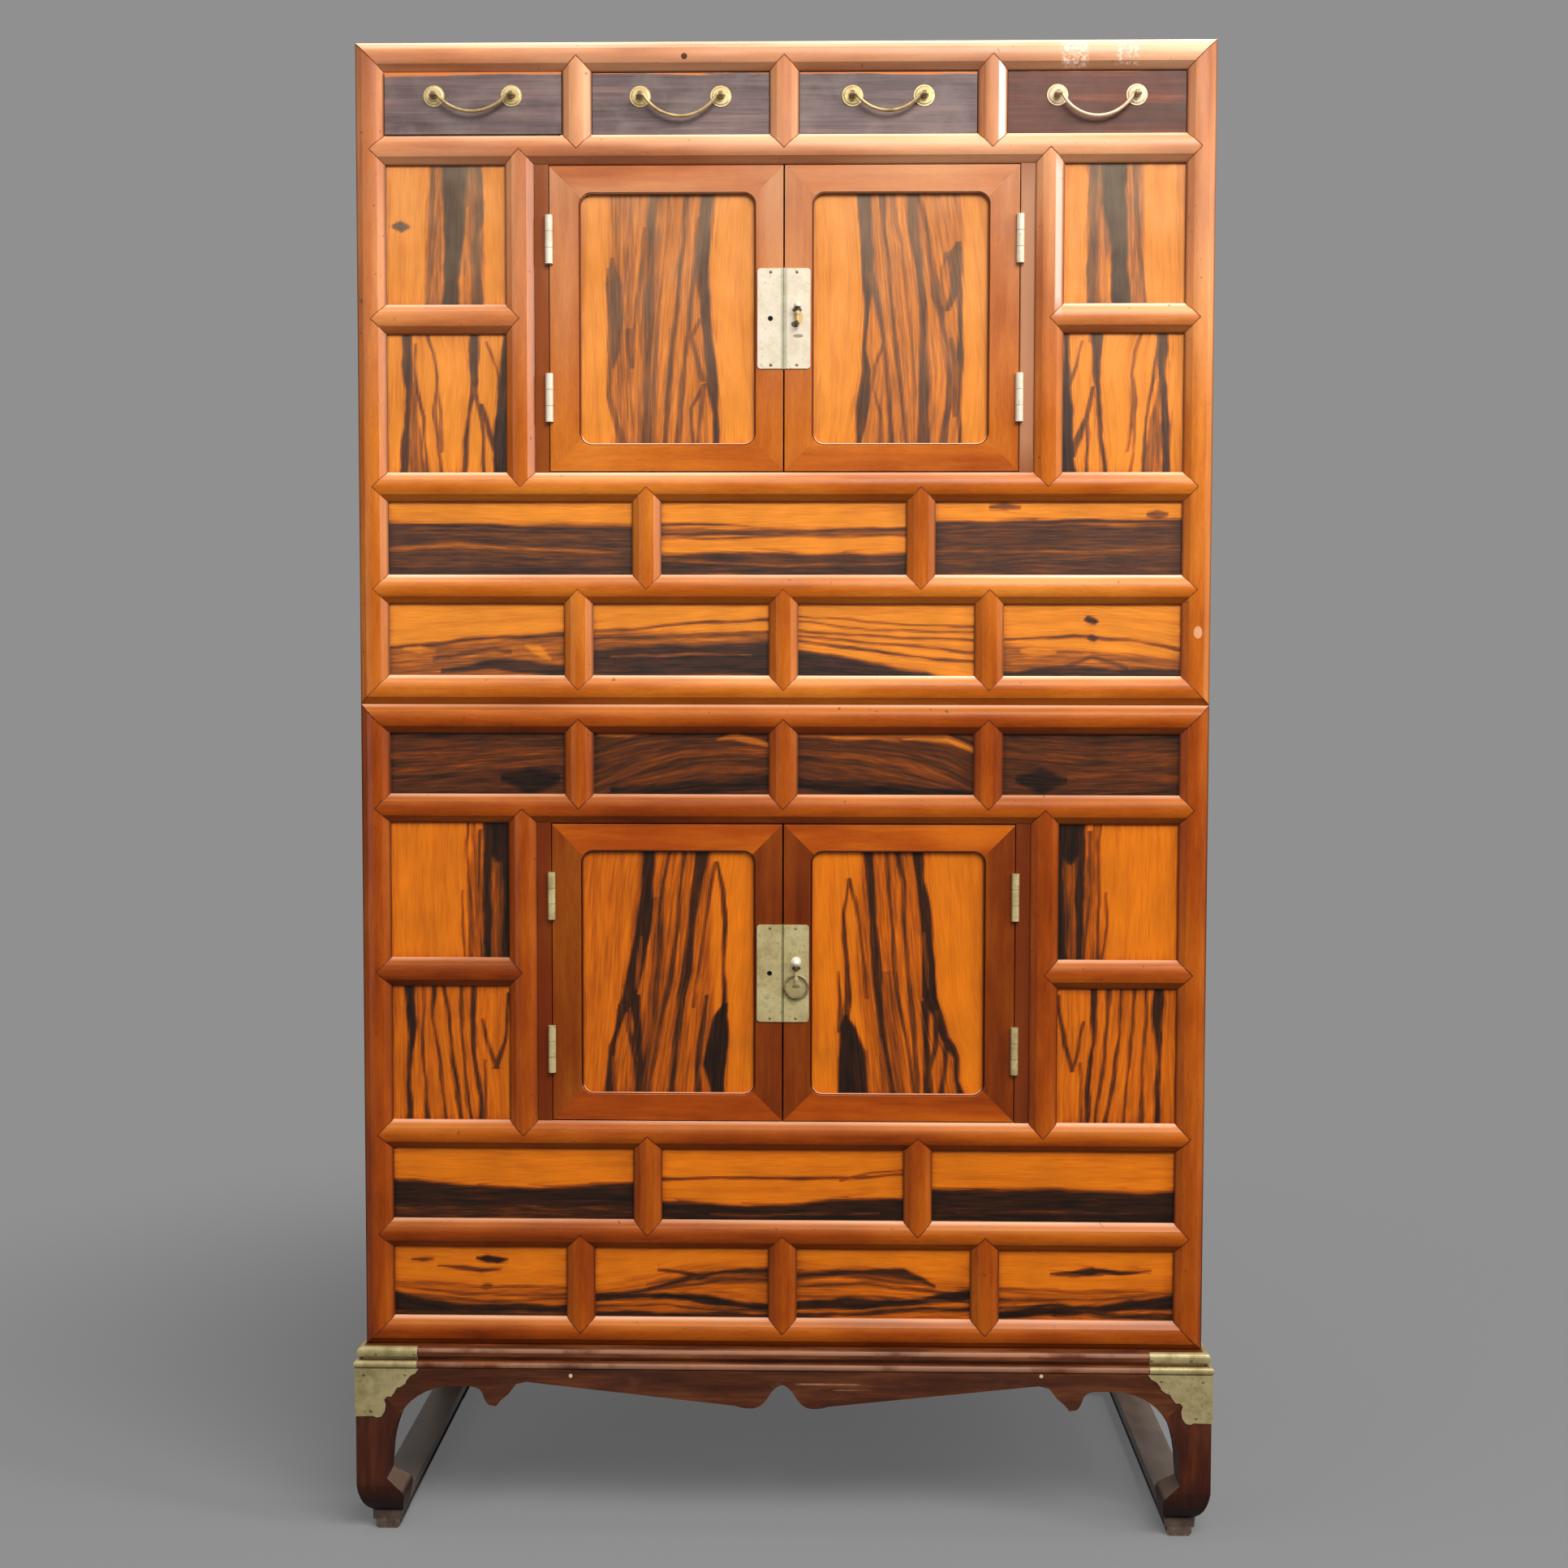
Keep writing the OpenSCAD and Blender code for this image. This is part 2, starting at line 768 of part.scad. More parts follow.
// Outlines of the four mitred pieces, each cut along the line through both corners
module door_pieces() {
    past = 1.8; // the mitres run on past the rounded corners of the opening
    g = hairline;
    a = past * meet_stile_w;
    b = past * hinge_stile_w;
    c = past * door_rail_w;
    x = door_x;
    z = door_zs;
    outlines = [[[x[0] + g, z[0]], [x[1] - g, z[0]],
                 [x[1] - b - g, z[0] + c], [x[0] + a + g, z[0] + c]],
                [[x[0] + g, z[1]], [x[1] - g, z[1]],
                 [x[1] - b - g, z[1] - c], [x[0] + a + g, z[1] - c]],
                [[x[0], z[0]], [x[0], z[1]], [x[0] + a, z[1] - c], [x[0] + a, z[0] + c]],
                [[x[1], z[0]], [x[1], z[1]], [x[1] - b, z[1] - c], [x[1] - b, z[0] + c]]];
    for (o = outlines)
        intersection() {
            upright(door_set, door_back_d)
                polygon(o);
            children();
        }
}

module door_frame() {
    color(frame_wood)
        door_pieces()
            difference() {
                upright(door_set, door_back_d)
                    difference() {
                        translate([door_x[0], door_zs[0]])
                            square([door_x[1] - door_x[0], door_h]);
                        door_opening();
                    }
                door_panel_field(groove_d);
                at_hinges()
                    hinge_recess(-1);
            }
}

module door_panel() {
    color(panel_wood)
        door_panel_field(groove_d - panel_gap);
}

// Lock plate: square at the meeting edge, rounded at the outer corners
module plate_outline() {
    m = door_z + door_zone_h / 2;
    x = meet_gap / 2;
    for (z = [m - plate_h / 2 + plate_r, m + plate_h / 2 - plate_r])
        translate([x + plate_w - plate_r, z])
            circle(r = plate_r);
    translate([x, m - plate_h / 2])
        square([plate_w - plate_r, plate_h]);
    translate([x, m - plate_h / 2 + plate_r])
        square([plate_w, plate_h - 2 * plate_r]);
}

module plate(hole) {
    upright(door_set - plate_t, door_set)
        difference() {
            plate_outline();
            if (hole)
                translate([staple_x, door_z + door_zone_h / 2])
                    circle(d = keyhole_d);
        }
}

// Staple: two lugs that hold an upright pin with a ball on top
plate_y = front_y + door_set - plate_t;
bolt_y = plate_y - bolt_out;
lug_z = door_z + door_zone_h / 2 - lug_step / 2;

module staple() {
    for (z = [lug_z, lug_z + lug_step])
        translate([staple_x, plate_y, z])
            rotate([90, 0, 0])
                cylinder(d = lug_d, h = bolt_out);
    translate([staple_x, bolt_y, lug_z - lug_d])
        cylinder(d = bolt_d, h = lug_step + 2 * lug_d + ball_d / 2);
    for (z = [lug_z, lug_z + lug_step])
        translate([staple_x, bolt_y, z - lug_d / 2])
            cylinder(d = bolt_d + 2 * collar_t, h = lug_d);
    translate([staple_x, bolt_y, lug_z + lug_step + lug_d + ball_d / 2])
        sphere(d = ball_d);
}

module door_brass(with_staple) {
    color(brass) {
        plate(!with_staple);
        if (with_staple)
            staple();
        at_hinges()
            moving_hinge();
    }
}

// Pull ring, hanging on the lower lug behind the upright pin
ring_r = (ring_d - ring_wire) / 2;
ring_top_z = lug_z + lug_d / 2 + ring_gap + ring_wire / 2;
ring_y = plate_y - (bolt_out - bolt_d / 2 - collar_t) / 2;

module pull_ring() {
    color(brass)
        tier(lower_z)
            translate([staple_x, ring_y, ring_top_z - ring_r])
                rotate([90, 0, 0])
                    rotate_extrude()
                        translate([ring_r, 0])
                            circle(d = ring_wire, $fn = 24);
}

// Drawers: the front, the tray behind it, the fittings and the bail
function drawer_y(i) = front_y + drawer_set - (i == 0 ? drawer_1_out : 0);
drawer_z = upper_z + row_a_z + drawer_gap;

module drawer_front(i) {
    y = drawer_y(i);
    x = drawer_xs[i];
    color(dark_wood)
        difference() {
            box(x - drawer_w / 2, x + drawer_w / 2, y, y + drawer_front_t,
                drawer_z, drawer_z + drawer_h);
            for (s = [-1, 1])
                translate([x + s * (drawer_w - drawer_side_t) / 2, 0, 0])
                    box(-drawer_side_t / 2, drawer_side_t / 2, y + drawer_front_t - lap_d,
                        y + drawer_front_t, drawer_z + drawer_bottom_t,
                        drawer_z + drawer_bottom_t + drawer_side_h);
            box(x - drawer_w / 2, x + drawer_w / 2, y + drawer_front_t - lap_d, y + drawer_front_t,
                drawer_z, drawer_z + drawer_bottom_t);
        }
}

module drawer_tray(i) {
    y0 = drawer_y(i) + drawer_front_t - lap_d;
    y1 = drawer_y(i) + drawer_l;
    x = drawer_xs[i];
    z = drawer_z + drawer_bottom_t;
    color(plain_wood) {
        box(x - drawer_w / 2, x + drawer_w / 2, y0, y1, drawer_z, z);
        for (s = [-1, 1])
            translate([x + s * (drawer_w - drawer_side_t) / 2, 0, 0])
                box(-drawer_side_t / 2, drawer_side_t / 2, y0, y1, z + hairline, z + drawer_side_h);
        box(x - drawer_w / 2 + drawer_side_t + hairline, x + drawer_w / 2 - drawer_side_t - hairline,
            y1 - drawer_side_t, y1, z + hairline, z + drawer_side_h);
    }
}

module drawer_fittings(i) {
    color(brass)
        for (s = [-1, 1])
            translate([drawer_xs[i] + s * bail_spans[i] / 2, drawer_y(i), pivot_z])
                fitting();
}

// Rosette with a domed edge, a shank and an eye for the bail
module fitting() {
    difference() {
        union() {
            rotate([90, 0, 0])
                cylinder(d = rosette_d, h = rosette_t / 2);
            rotate([90, 0, 0])
                cylinder(d1 = rosette_d, d2 = rosette_d - 3 * rosette_t, h = rosette_t);
            rotate([90, 0, 0])
                cylinder(d = bail_wire, h = bail_out);
            translate([-eye_l / 2, -bail_out, 0])
                rotate([0, 90, 0])
                    cylinder(d = eye_d, h = eye_l);
        }
        translate([-eye_l, -bail_out, 0])
            rotate([0, 90, 0])
                cylinder(d = bail_wire + 2 * pin_fit, h = 2 * eye_l);
    }
}

// Bail: a wire arc whose straight ends turn in the eyes
module bail(i) {
    half = bail_spans[i] / 2 - eye_l;
    drop = bail_drops[i];
    r = (half * half + drop * drop) / (2 * drop);
    sweep = 2 * asin(half / r);
    color(brass)
        translate([drawer_xs[i], drawer_y(i) - bail_out, pivot_z]) {
            translate([0, 0, r - drop])
                rotate([90, 0, 0])
                    rotate([0, 0, -90 - sweep / 2])
                        rotate_extrude(angle = sweep)
                            translate([r, 0])
                                circle(d = bail_wire, $fn = 24);
            for (s = [-1, 1]) {
                translate([s * half, 0, 0])
                    sphere(d = bail_wire);
                translate([s * (half + eye_l), 0, 0])
                    rotate([0, 90, 0])
                        translate([0, 0, -eye_l])
                            cylinder(d = bail_wire, h = 2 * eye_l);
            }
        }
}

module drawer_shelf() {
    color(plain_wood)
        tier(upper_z)
            board(row_a_z, shelf_t);
}

// Partitions with a guide on each side, and guides along the side frames
module drawer_dividers() {
    y0 = front_y + member_t;
    y1 = back_y - side_t;
    top = case_h - board_t;
    color(plain_wood)
        tier(upper_z) {
            for (x = muntins_4)
                union() {
                    box(x - partition_t / 2, x + partition_t / 2, y0, y1, row_a_z, top);
                    box(x - member_w / 2, x + member_w / 2, y0, y1, row_a_z, row_a_z + guide_h);
                }
            both_sides()
                box(inner_w / 2, case_w / 2 - side_t, y0, back_y - member_t,
                    row_a_z, row_a_z + guide_h);
        }
}

// Stand: section of the top frame, with two beads and a groove, outwards from the case face
bead_r = [upper_bead_h / 2, lower_bead_h / 2];
frame_points = concat(
    [[-top_frame_w + stand_out, 0], [bead_out - bead_r[0], 0]],
    curve([bead_out - bead_r[0], 0], [bead_out, 0], [bead_out, -bead_r[0]], 5),
    curve([bead_out, -bead_r[0]], [bead_out, -upper_bead_h],
          [bead_out - bead_r[0] / 2, -upper_bead_h], 5),
    [[bead_out - bead_r[0], -upper_bead_h], [bead_out - bead_r[0], -upper_bead_h - bead_groove_h]],
    [[stand_out - bead_r[1], -upper_bead_h - bead_groove_h]],
    curve([stand_out - bead_r[1], -upper_bead_h - bead_groove_h],
          [stand_out, -upper_bead_h - bead_groove_h],
          [stand_out, bead_r[1] - top_frame_h], 5),
    curve([stand_out, bead_r[1] - top_frame_h], [stand_out, -top_frame_h],
          [stand_out - bead_r[1], -top_frame_h], 5),
    [[-top_frame_w + stand_out, -top_frame_h]]);

// Plan of one mitred side of the top frame, a hairline short of the mitre lines
module frame_plan(half, off) {
    a = half + stand_out - hairline;
    b = half + stand_out - top_frame_w - hairline;
    polygon([[-a, -off - stand_out], [a, -off - stand_out],
             [b, -off + top_frame_w - stand_out], [-b, -off + top_frame_w - stand_out]]);
}

// One mitred side of the top frame: half is half the case's length along it, off its face
module frame_side(half, off) {
    reach = half + 2 * stand_out;
    intersection() {
        translate([-reach, -off, 0])
            rotate([90, 0, 90])
                linear_extrude(2 * reach)
                    mirror([1, 0])
                        polygon(frame_points);
        translate([0, 0, -top_frame_h])
            linear_extrude(top_frame_h)
                frame_plan(half, off);
    }
}

module stand_top_frame() {
    color(stand_wood)
        translate([0, 0, stand_h]) {
            for (a = [0, 180])
                rotate([0, 0, a])
                    frame_side(case_w / 2, case_d / 2);
            for (a = [90, 270])
                rotate([0, 0, a])
                    frame_side(case_d / 2, case_w / 2);
        }
}

// Elevation of aprons and legs, measured from a leg's outer edge and down from the top frame
notch_z = 13.5; // top of the notch in the middle of the apron
lobe_z = 37; // bottom of the lobes beside the notch
cusp_z = 37; // bottom of the cusps beside the legs
thin_z = 12; // where the apron is thinnest
arch_z = 17.5; // top of the arch beside a leg
arch_w = 87; // where that arch starts
arch_turn = [[leg_w + 10, arch_z + 6], [leg_w - 2, 46]];
ankle = [leg_w - 15, 97]; // where the leg is narrowest, above its toe
toe_z = leg_h - 22;

function leg_inner() = concat(
    curve([arch_w, arch_z], arch_turn[0], arch_turn[1]),
    curve(arch_turn[1], [leg_w - 14, 64], ankle),
    [[leg_w - 16, toe_z - 16]],
    curve([leg_w - 16, toe_z - 16], [leg_w - 11, toe_z - 11], [leg_w - 3, toe_z - 3], 4),
    curve([leg_w - 3, toe_z - 3], [leg_w, toe_z], [leg_w, toe_z + 6], 4),
    [[leg_w - 3, leg_h], [16, leg_h]],
    curve([16, leg_h], [3, leg_h - 6], [0, toe_z - 8]));

// The front apron's lower edge, from the middle out to the arch, as [across, down]
function apron_edge() = concat(
    [[0, notch_z]],
    curve([0, notch_z], [7, notch_z + 1], [14, notch_z + 13]),
    curve([14, notch_z + 13], [20, lobe_z], [31, lobe_z]),
    curve([31, lobe_z], [38, lobe_z], [46, lobe_z - 2.5], 4),
    [[stand_x - 168, thin_z + 0.5]],
    curve([stand_x - 160, thin_z], [stand_x - 156, thin_z + 5], [stand_x - 150, thin_z + 13], 4),
    curve([stand_x - 150, thin_z + 13], [stand_x - 141, thin_z + 20], [stand_x - 138, cusp_z], 4),
    curve([stand_x - 133, cusp_z], [stand_x - 127, cusp_z - 3], [stand_x - 125, cusp_z - 12]),
    curve([stand_x - 125, cusp_z - 12], [stand_x - 122, arch_z], [stand_x - 112, arch_z]),
    [[stand_x - arch_w, arch_z]]);

function plain_edge(half) = [[0, arch_z], [half - arch_w, arch_z]];

// The whole elevation of one side of the stand: out from the middle, and back mirrored
module elevation(edge, half) {
    right = concat(edge, [for (p = leg_inner()) [half - p[0], p[1]]], [[half, 0]]);
    left = [for (i = [len(right) - 1 : -1 : 1]) [-right[i][0], right[i][1]]];
    polygon([for (p = concat(right, left)) [p[0], leg_top_z - p[1]]]);
}

// The mitred joint line between leg and apron, and the part of an elevation above it
module above_mitre(half) {
    polygon([[-half, leg_top_z], [half, leg_top_z], [half - arch_w, leg_top_z - arch_w],
             [arch_w - half, leg_top_z - arch_w]]);
}

module apron_plan(half, off) {
    polygon([[-half, -off], [half, -off], [half - apron_t, -off + apron_t],
             [-half + apron_t, -off + apron_t]]);
}

module apron(edge, half, off) {
    intersection() {
        translate([0, -off + apron_t, 0])
            rotate([90, 0, 0])
                linear_extrude(apron_t)
                    intersection() {
                        elevation(edge, half);
                        above_mitre(half);
                    }
        linear_extrude(leg_top_z)
            apron_plan(half, off);
    }
}

module front_apron() {
    color(stand_wood)
        apron(apron_edge(), stand_x, stand_y);
}

module back_apron() {
    color(stand_wood)
        rotate([0, 0, 180])
            apron(plain_edge(stand_x), stand_x, stand_y);
}

module side_aprons() {
    color(stand_wood)
        for (a = [90, 270])
            rotate([0, 0, a])
                apron(plain_edge(stand_y), stand_y, stand_x);
}

// A leg has the same inner curve on both faces; the aprons' mitred ends are cut from it
module leg() {
    difference() {
        intersection() {
            translate([0, -stand_y + leg_w, 0])
                rotate([90, 0, 0])
                    linear_extrude(leg_w)
                        leg_elevation(stand_x);
            translate([stand_x - leg_w, 0, 0])
                rotate([90, 0, 90])
                    linear_extrude(leg_w)
                        mirror([1, 0])
                            leg_elevation(stand_y);
        }
        apron_wedge(stand_x, stand_y);
        rotate([0, 0, 90])
            apron_wedge(stand_y, stand_x);
    }
}

module leg_elevation(half) {
    intersection() {
        polygon([for (p = concat([[leg_w, 0]], [for (q = leg_inner()) [min(q[0], leg_w), q[1]]],
                                 [[0, 0]]))
                 [half - p[0], leg_top_z - p[1]]]);
        translate([half - leg_w, 0])
            square([leg_w, leg_top_z]);
    }
}

module apron_wedge(half, off) {
    intersection() {
        translate([0, -off + apron_t, 0])
            rotate([90, 0, 0])
                linear_extrude(apron_t)
                    above_mitre(half);
        linear_extrude(leg_top_z)
            apron_plan(half, off);
    }
}

module four_corners() {
    both_sides() {
        children();
        mirror([0, 1, 0])
            children();
    }
}

module stand_legs() {
    color(stand_wood)
        four_corners()
            leg();
}

// Runners from front leg to back leg, with a pad under each end
runner_x = stand_x - runner_set;
runner_y = stand_y - runner_end;

// Plan of a runner, measured from its outer edge, with its ends narrowed on the outside
module runner_plan() {
    polygon([[-runner_w, -runner_y], [-runner_taper, -runner_y], [0, leg_w - stand_y],
             [0, stand_y - leg_w], [-runner_taper, runner_y], [-runner_w, runner_y]]);
}

module floor_runners() {
    color(stand_wood)
        both_sides()
            intersection() {
                translate([runner_x - runner_w, runner_y, pad_h])
                    rotate([90, 0, 0])
                        linear_extrude(2 * runner_y)
                            polygon([[0, 0], [runner_w, 0], [runner_w, runner_h],
                                     [foot_bevel, runner_h], [0, runner_h - foot_bevel]]);
                translate([runner_x, 0, pad_h])
                    linear_extrude(runner_h)
                        runner_plan();
            }
}

module runner_pads() {
    x = runner_x - (runner_w + runner_taper - pad_w) / 2;
    color(stand_wood)
        four_corners()
            translate([x - pad_w, -runner_y + pad_l, 0])
                rotate([90, 0, 0])
                    linear_extrude(pad_l)
                        polygon([[foot_bevel, 0], [pad_w - foot_bevel, 0], [pad_w, foot_bevel],
                                 [pad_w, pad_h], [0, pad_h], [0, foot_bevel]]);
}

// Corner brasses at the front: a plate with a stepped and lobed edge, bent round the corner
brass_points = [[0, 0.3], [brass_w, 0.3], [brass_w - 3, 4.5], [brass_w - 8, 7], [brass_w - 12, 12],
                [brass_w - 13, 15], [brass_w - 18, 18.5], [brass_w - 21, 19], [brass_w - 24, 24],
                [brass_w - 27, 28], [brass_w - 31, 28], [brass_w - 34, 31], [29.5, brass_h - 12],
                [28.5, brass_h - 6], [25, brass_h - 1], [21, brass_h], [17, brass_h - 1.5],
                [0, brass_h - 1]];

module brass_plate(half, off) {
    translate([0, -off, 0])
        rotate([90, 0, 0])
            linear_extrude(brass_t)
                polygon([for (p = brass_points) [half - p[0], leg_top_z - p[1]]]);
}

// Skin that follows the two beads from the corner inwards, mitred at the corner
module bead_cap(half, off) {
    a = half + stand_out + brass_t;
    intersection() {
        translate([a - brass_w, -off, stand_h])
            rotate([90, 0, 90])
                linear_extrude(brass_w)
                    mirror([1, 0])
                        difference() {
                            translate([brass_t, 0])
                                polygon(frame_points);
                            polygon(frame_points);
                        }
        linear_extrude(stand_h)
            polygon([[a - brass_w, -off - stand_out - brass_t], [a, -off - stand_out - brass_t],
                     [a - 2 * stand_out, -off + stand_out - brass_t],
                     [a - brass_w, -off + stand_out - brass_t]]);
    }
}

// The bent plate with the corner between its wings, and the caps over the beads
module corner_brass() {
    brass_plate(stand_x, stand_y);
    mirror([1, 1, 0])
        brass_plate(stand_y, stand_x);
    translate([stand_x, -stand_y - brass_t, leg_top_z - brass_h + 1])
        cube([brass_t, brass_t, brass_h - 1.3]);
    bead_cap(case_w / 2, case_d / 2);
    mirror([1, 1, 0])
        bead_cap(case_d / 2, case_w / 2);
}

module corner_brasses() {
    color(brass)
        both_sides()
            corner_brass();
}

// The two cases
module lower_posts() { tier(lower_z) posts(concat(figured_openings, dark_openings)); }
module lower_front_rails() { tier(lower_z) front_rails(concat(figured_openings, dark_openings), false); }
module lower_front_dividers() { tier(lower_z) front_dividers(concat(figured_openings, dark_openings)); }
module lower_front_panels() { color(panel_wood) tier(lower_z) panels(figured_openings); }
module lower_dark_panels() { color(dark_wood) tier(lower_z) panels(dark_openings); }
module lower_side_rails() { tier(lower_z) side_rails(false); }
module lower_side_panels() { tier(lower_z) side_panels(); }
module lower_back() { tier(lower_z) back(false); }
module lower_top_board() { color(plain_wood) tier(lower_z) board(case_h, board_t); }
module lower_floor_board() { color(plain_wood) tier(lower_z) board(member_w, board_t); }
module lower_hinge_leaves() { tier(lower_z) hinge_leaves(); }
module upper_posts() { tier(upper_z) posts(figured_openings); }
module upper_front_rails() { tier(upper_z) front_rails(figured_openings, true); }
module upper_front_dividers() { tier(upper_z) front_dividers(figured_openings); }
module upper_front_panels() { color(panel_wood) tier(upper_z) panels(figured_openings); }
module upper_side_rails() { tier(upper_z) side_rails(true); }
module upper_side_panels() { tier(upper_z) side_panels(); }
module upper_back() { tier(upper_z) back(true); }
module upper_top_board() { color(frame_wood) tier(upper_z) board(case_h, board_t); }
module upper_floor_board() { color(plain_wood) tier(upper_z) board(member_w, board_t); }
module upper_hinge_leaves() { tier(upper_z) hinge_leaves(); }

module left() { mirror([1, 0, 0]) children(); }
module lower_left_door_frame() { tier(lower_z) left() door_frame(); }
module lower_left_door_panel() { tier(lower_z) left() door_panel(); }
module lower_left_door_brass() { tier(lower_z) left() door_brass(false); }
module lower_right_door_frame() { tier(lower_z) door_frame(); }
module lower_right_door_panel() { tier(lower_z) door_panel(); }
module lower_right_door_brass() { tier(lower_z) door_brass(true); }
module upper_left_door_frame() { tier(upper_z) left() door_frame(); }
module upper_left_door_panel() { tier(upper_z) left() door_panel(); }
module upper_left_door_brass() { tier(upper_z) left() door_brass(false); }
module upper_right_door_frame() { tier(upper_z) door_frame(); }
module upper_right_door_panel() { tier(upper_z) door_panel(); }
module upper_right_door_brass() { tier(upper_z) door_brass(true); }

stand_top_frame();
front_apron();
back_apron();
side_aprons();
stand_legs();
floor_runners();
runner_pads();
corner_brasses();
lower_posts();
lower_front_rails();
lower_front_dividers();
lower_front_panels();
lower_dark_panels();
lower_side_rails();
lower_side_panels();
lower_back();
lower_top_board();
lower_floor_board();
lower_hinge_leaves();
lower_left_door_frame();
lower_left_door_panel();
lower_left_door_brass();
lower_right_door_frame();
lower_right_door_panel();
lower_right_door_brass();
pull_ring();
upper_posts();
upper_front_rails();
upper_front_dividers();
upper_front_panels();
upper_side_rails();
upper_side_panels();
upper_back();
upper_top_board();
upper_floor_board();
drawer_shelf();
drawer_dividers();
upper_hinge_leaves();
upper_left_door_frame();
upper_left_door_panel();
upper_left_door_brass();
upper_right_door_frame();
upper_right_door_panel();
upper_right_door_brass();
drawer_front(0);  // drawer_1_front
drawer_tray(0);  // drawer_1_tray
drawer_fittings(0);  // drawer_1_fittings
bail(0);  // drawer_1_bail
drawer_front(1);  // drawer_2_front
drawer_tray(1);  // drawer_2_tray
drawer_fittings(1);  // drawer_2_fittings
bail(1);  // drawer_2_bail
drawer_front(2);  // drawer_3_front
drawer_tray(2);  // drawer_3_tray
drawer_fittings(2);  // drawer_3_fittings
bail(2);  // drawer_3_bail
drawer_front(3);  // drawer_4_front
drawer_tray(3);  // drawer_4_tray
drawer_fittings(3);  // drawer_4_fittings
bail(3);  // drawer_4_bail
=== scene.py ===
# %% [markdown]
# # A two-tier stacked chest
#
# The chest comes in as a finished CAD model: posts, rails, doors, drawers and
# brass fittings, each where it belongs. What it lacks is the way the wood and
# the metal look. This lesson gives every piece its finish, rebuilds the figured
# boards so that their black heartwood follows the grain, and adds the small
# things that a plain solid leaves out: nails, brass lips, rounded rims and the
# dirt in the joints.

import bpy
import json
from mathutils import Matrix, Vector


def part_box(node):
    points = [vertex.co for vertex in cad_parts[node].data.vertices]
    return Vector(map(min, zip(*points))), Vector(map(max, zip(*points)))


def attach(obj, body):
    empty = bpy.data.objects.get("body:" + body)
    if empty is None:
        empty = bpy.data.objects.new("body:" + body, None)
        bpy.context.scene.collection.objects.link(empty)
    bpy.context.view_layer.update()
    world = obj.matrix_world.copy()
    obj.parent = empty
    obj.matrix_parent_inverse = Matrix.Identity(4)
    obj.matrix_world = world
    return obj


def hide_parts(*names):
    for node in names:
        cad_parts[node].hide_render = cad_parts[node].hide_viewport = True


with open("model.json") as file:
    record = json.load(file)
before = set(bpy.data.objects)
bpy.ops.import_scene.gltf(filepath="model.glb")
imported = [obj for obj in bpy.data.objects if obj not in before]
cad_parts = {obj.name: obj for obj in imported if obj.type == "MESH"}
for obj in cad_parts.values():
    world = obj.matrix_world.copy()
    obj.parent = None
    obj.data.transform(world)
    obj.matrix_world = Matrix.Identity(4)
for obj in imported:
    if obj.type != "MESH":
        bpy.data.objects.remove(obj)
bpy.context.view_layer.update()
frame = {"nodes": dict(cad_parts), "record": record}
nodes = frame["nodes"]

# %% Modules
import json
import math

import bpy
import numpy as np
from mathutils import Matrix, Vector

MM = 0.001
bpy.ops.object.select_all(action="DESELECT")
print("lengths are in metres, and a millimetre is", MM)

# %% [markdown]
# ## The camera
#
# The chest was photographed from close by, a little above its middle, with the
# camera tipped down by less than three degrees. Those numbers were found by
# matching corners of the chest, and a camera built from them shows the same
# slight narrowing towards the feet.

# %% Camera
EYE = Vector((0.0374, -2.0600, 0.8326))
YAW, PITCH, ROLL = (math.radians(a) for a in (-1.124, -2.861, 0.097))
LENS, SENSOR = 44.317, 36

ahead = Vector((math.sin(YAW) * math.cos(PITCH), math.cos(YAW) * math.cos(PITCH), math.sin(PITCH)))
level = Vector((math.cos(YAW), -math.sin(YAW), 0))
above = level.cross(ahead)
right = level * math.cos(ROLL) + above * math.sin(ROLL)
up = above * math.cos(ROLL) - level * math.sin(ROLL)

camera_data = bpy.data.cameras.new("camera")
camera_data.lens = LENS
camera_data.sensor_width = SENSOR
camera = bpy.data.objects.new("camera", camera_data)
bpy.context.scene.collection.objects.link(camera)
turn = Matrix((right, up, -ahead)).transposed().to_4x4()
camera.matrix_world = Matrix.Translation(EYE) @ turn
bpy.context.scene.camera = camera
bpy.context.scene.view_settings.view_transform = "Standard"
print("camera at", tuple(round(v, 3) for v in EYE))

# %% [markdown]
# ## Helpers for materials
#
# Colours are easiest to pick as the hex codes that a paint program shows, but a
# shader works in linear light, so one function converts them. A second one adds
# a node, sets it and links it, which keeps each material readable as a list of
# what the light meets. A third starts an empty material.

# %% Helpers
def linear(code):
    """Turn an sRGB hex code into linear light, by the formula of the sRGB standard."""
    parts = [int(code[i:i + 2], 16) / 255 for i in (1, 3, 5)]
    return tuple(c / 12.92 if c < 0.04045 else ((c + 0.055) / 1.055) ** 2.4 for c in parts) + (1.0,)


def add(tree, kind, *inputs, stops=None, **settings):
    """Add a node. Its inputs come in the node's own order, or in a dictionary by name or number.

    An input is a value, a socket, or a whole node, whose first live output is then linked.
    """
    node = tree.nodes.new("ShaderNode" + kind)
    for name, value in settings.items():
        setattr(node, name, value)
    by_name = inputs and isinstance(inputs[0], dict)
    for key, value in (inputs[0] if by_name else dict(enumerate(inputs))).items():
        if isinstance(value, bpy.types.Node):
            value = next(output for output in value.outputs if output.enabled)
        if isinstance(value, bpy.types.NodeSocket):
            tree.links.new(value, node.inputs[key])
        else:
            node.inputs[key].default_value = value
    if stops:
        ramp = node.color_ramp
        while len(ramp.elements) < len(stops):
            ramp.elements.new(0.5)
        for element, (place, code) in zip(ramp.elements, stops):
            element.position = place
            element.color = linear(code)
    return node


def new_material(name):
    material = bpy.data.materials.new(name)
    material.use_nodes = True
    material.node_tree.nodes.clear()
    return material, material.node_tree


print("helpers ready; mid grey is", [round(c, 3) for c in linear("#909090")])

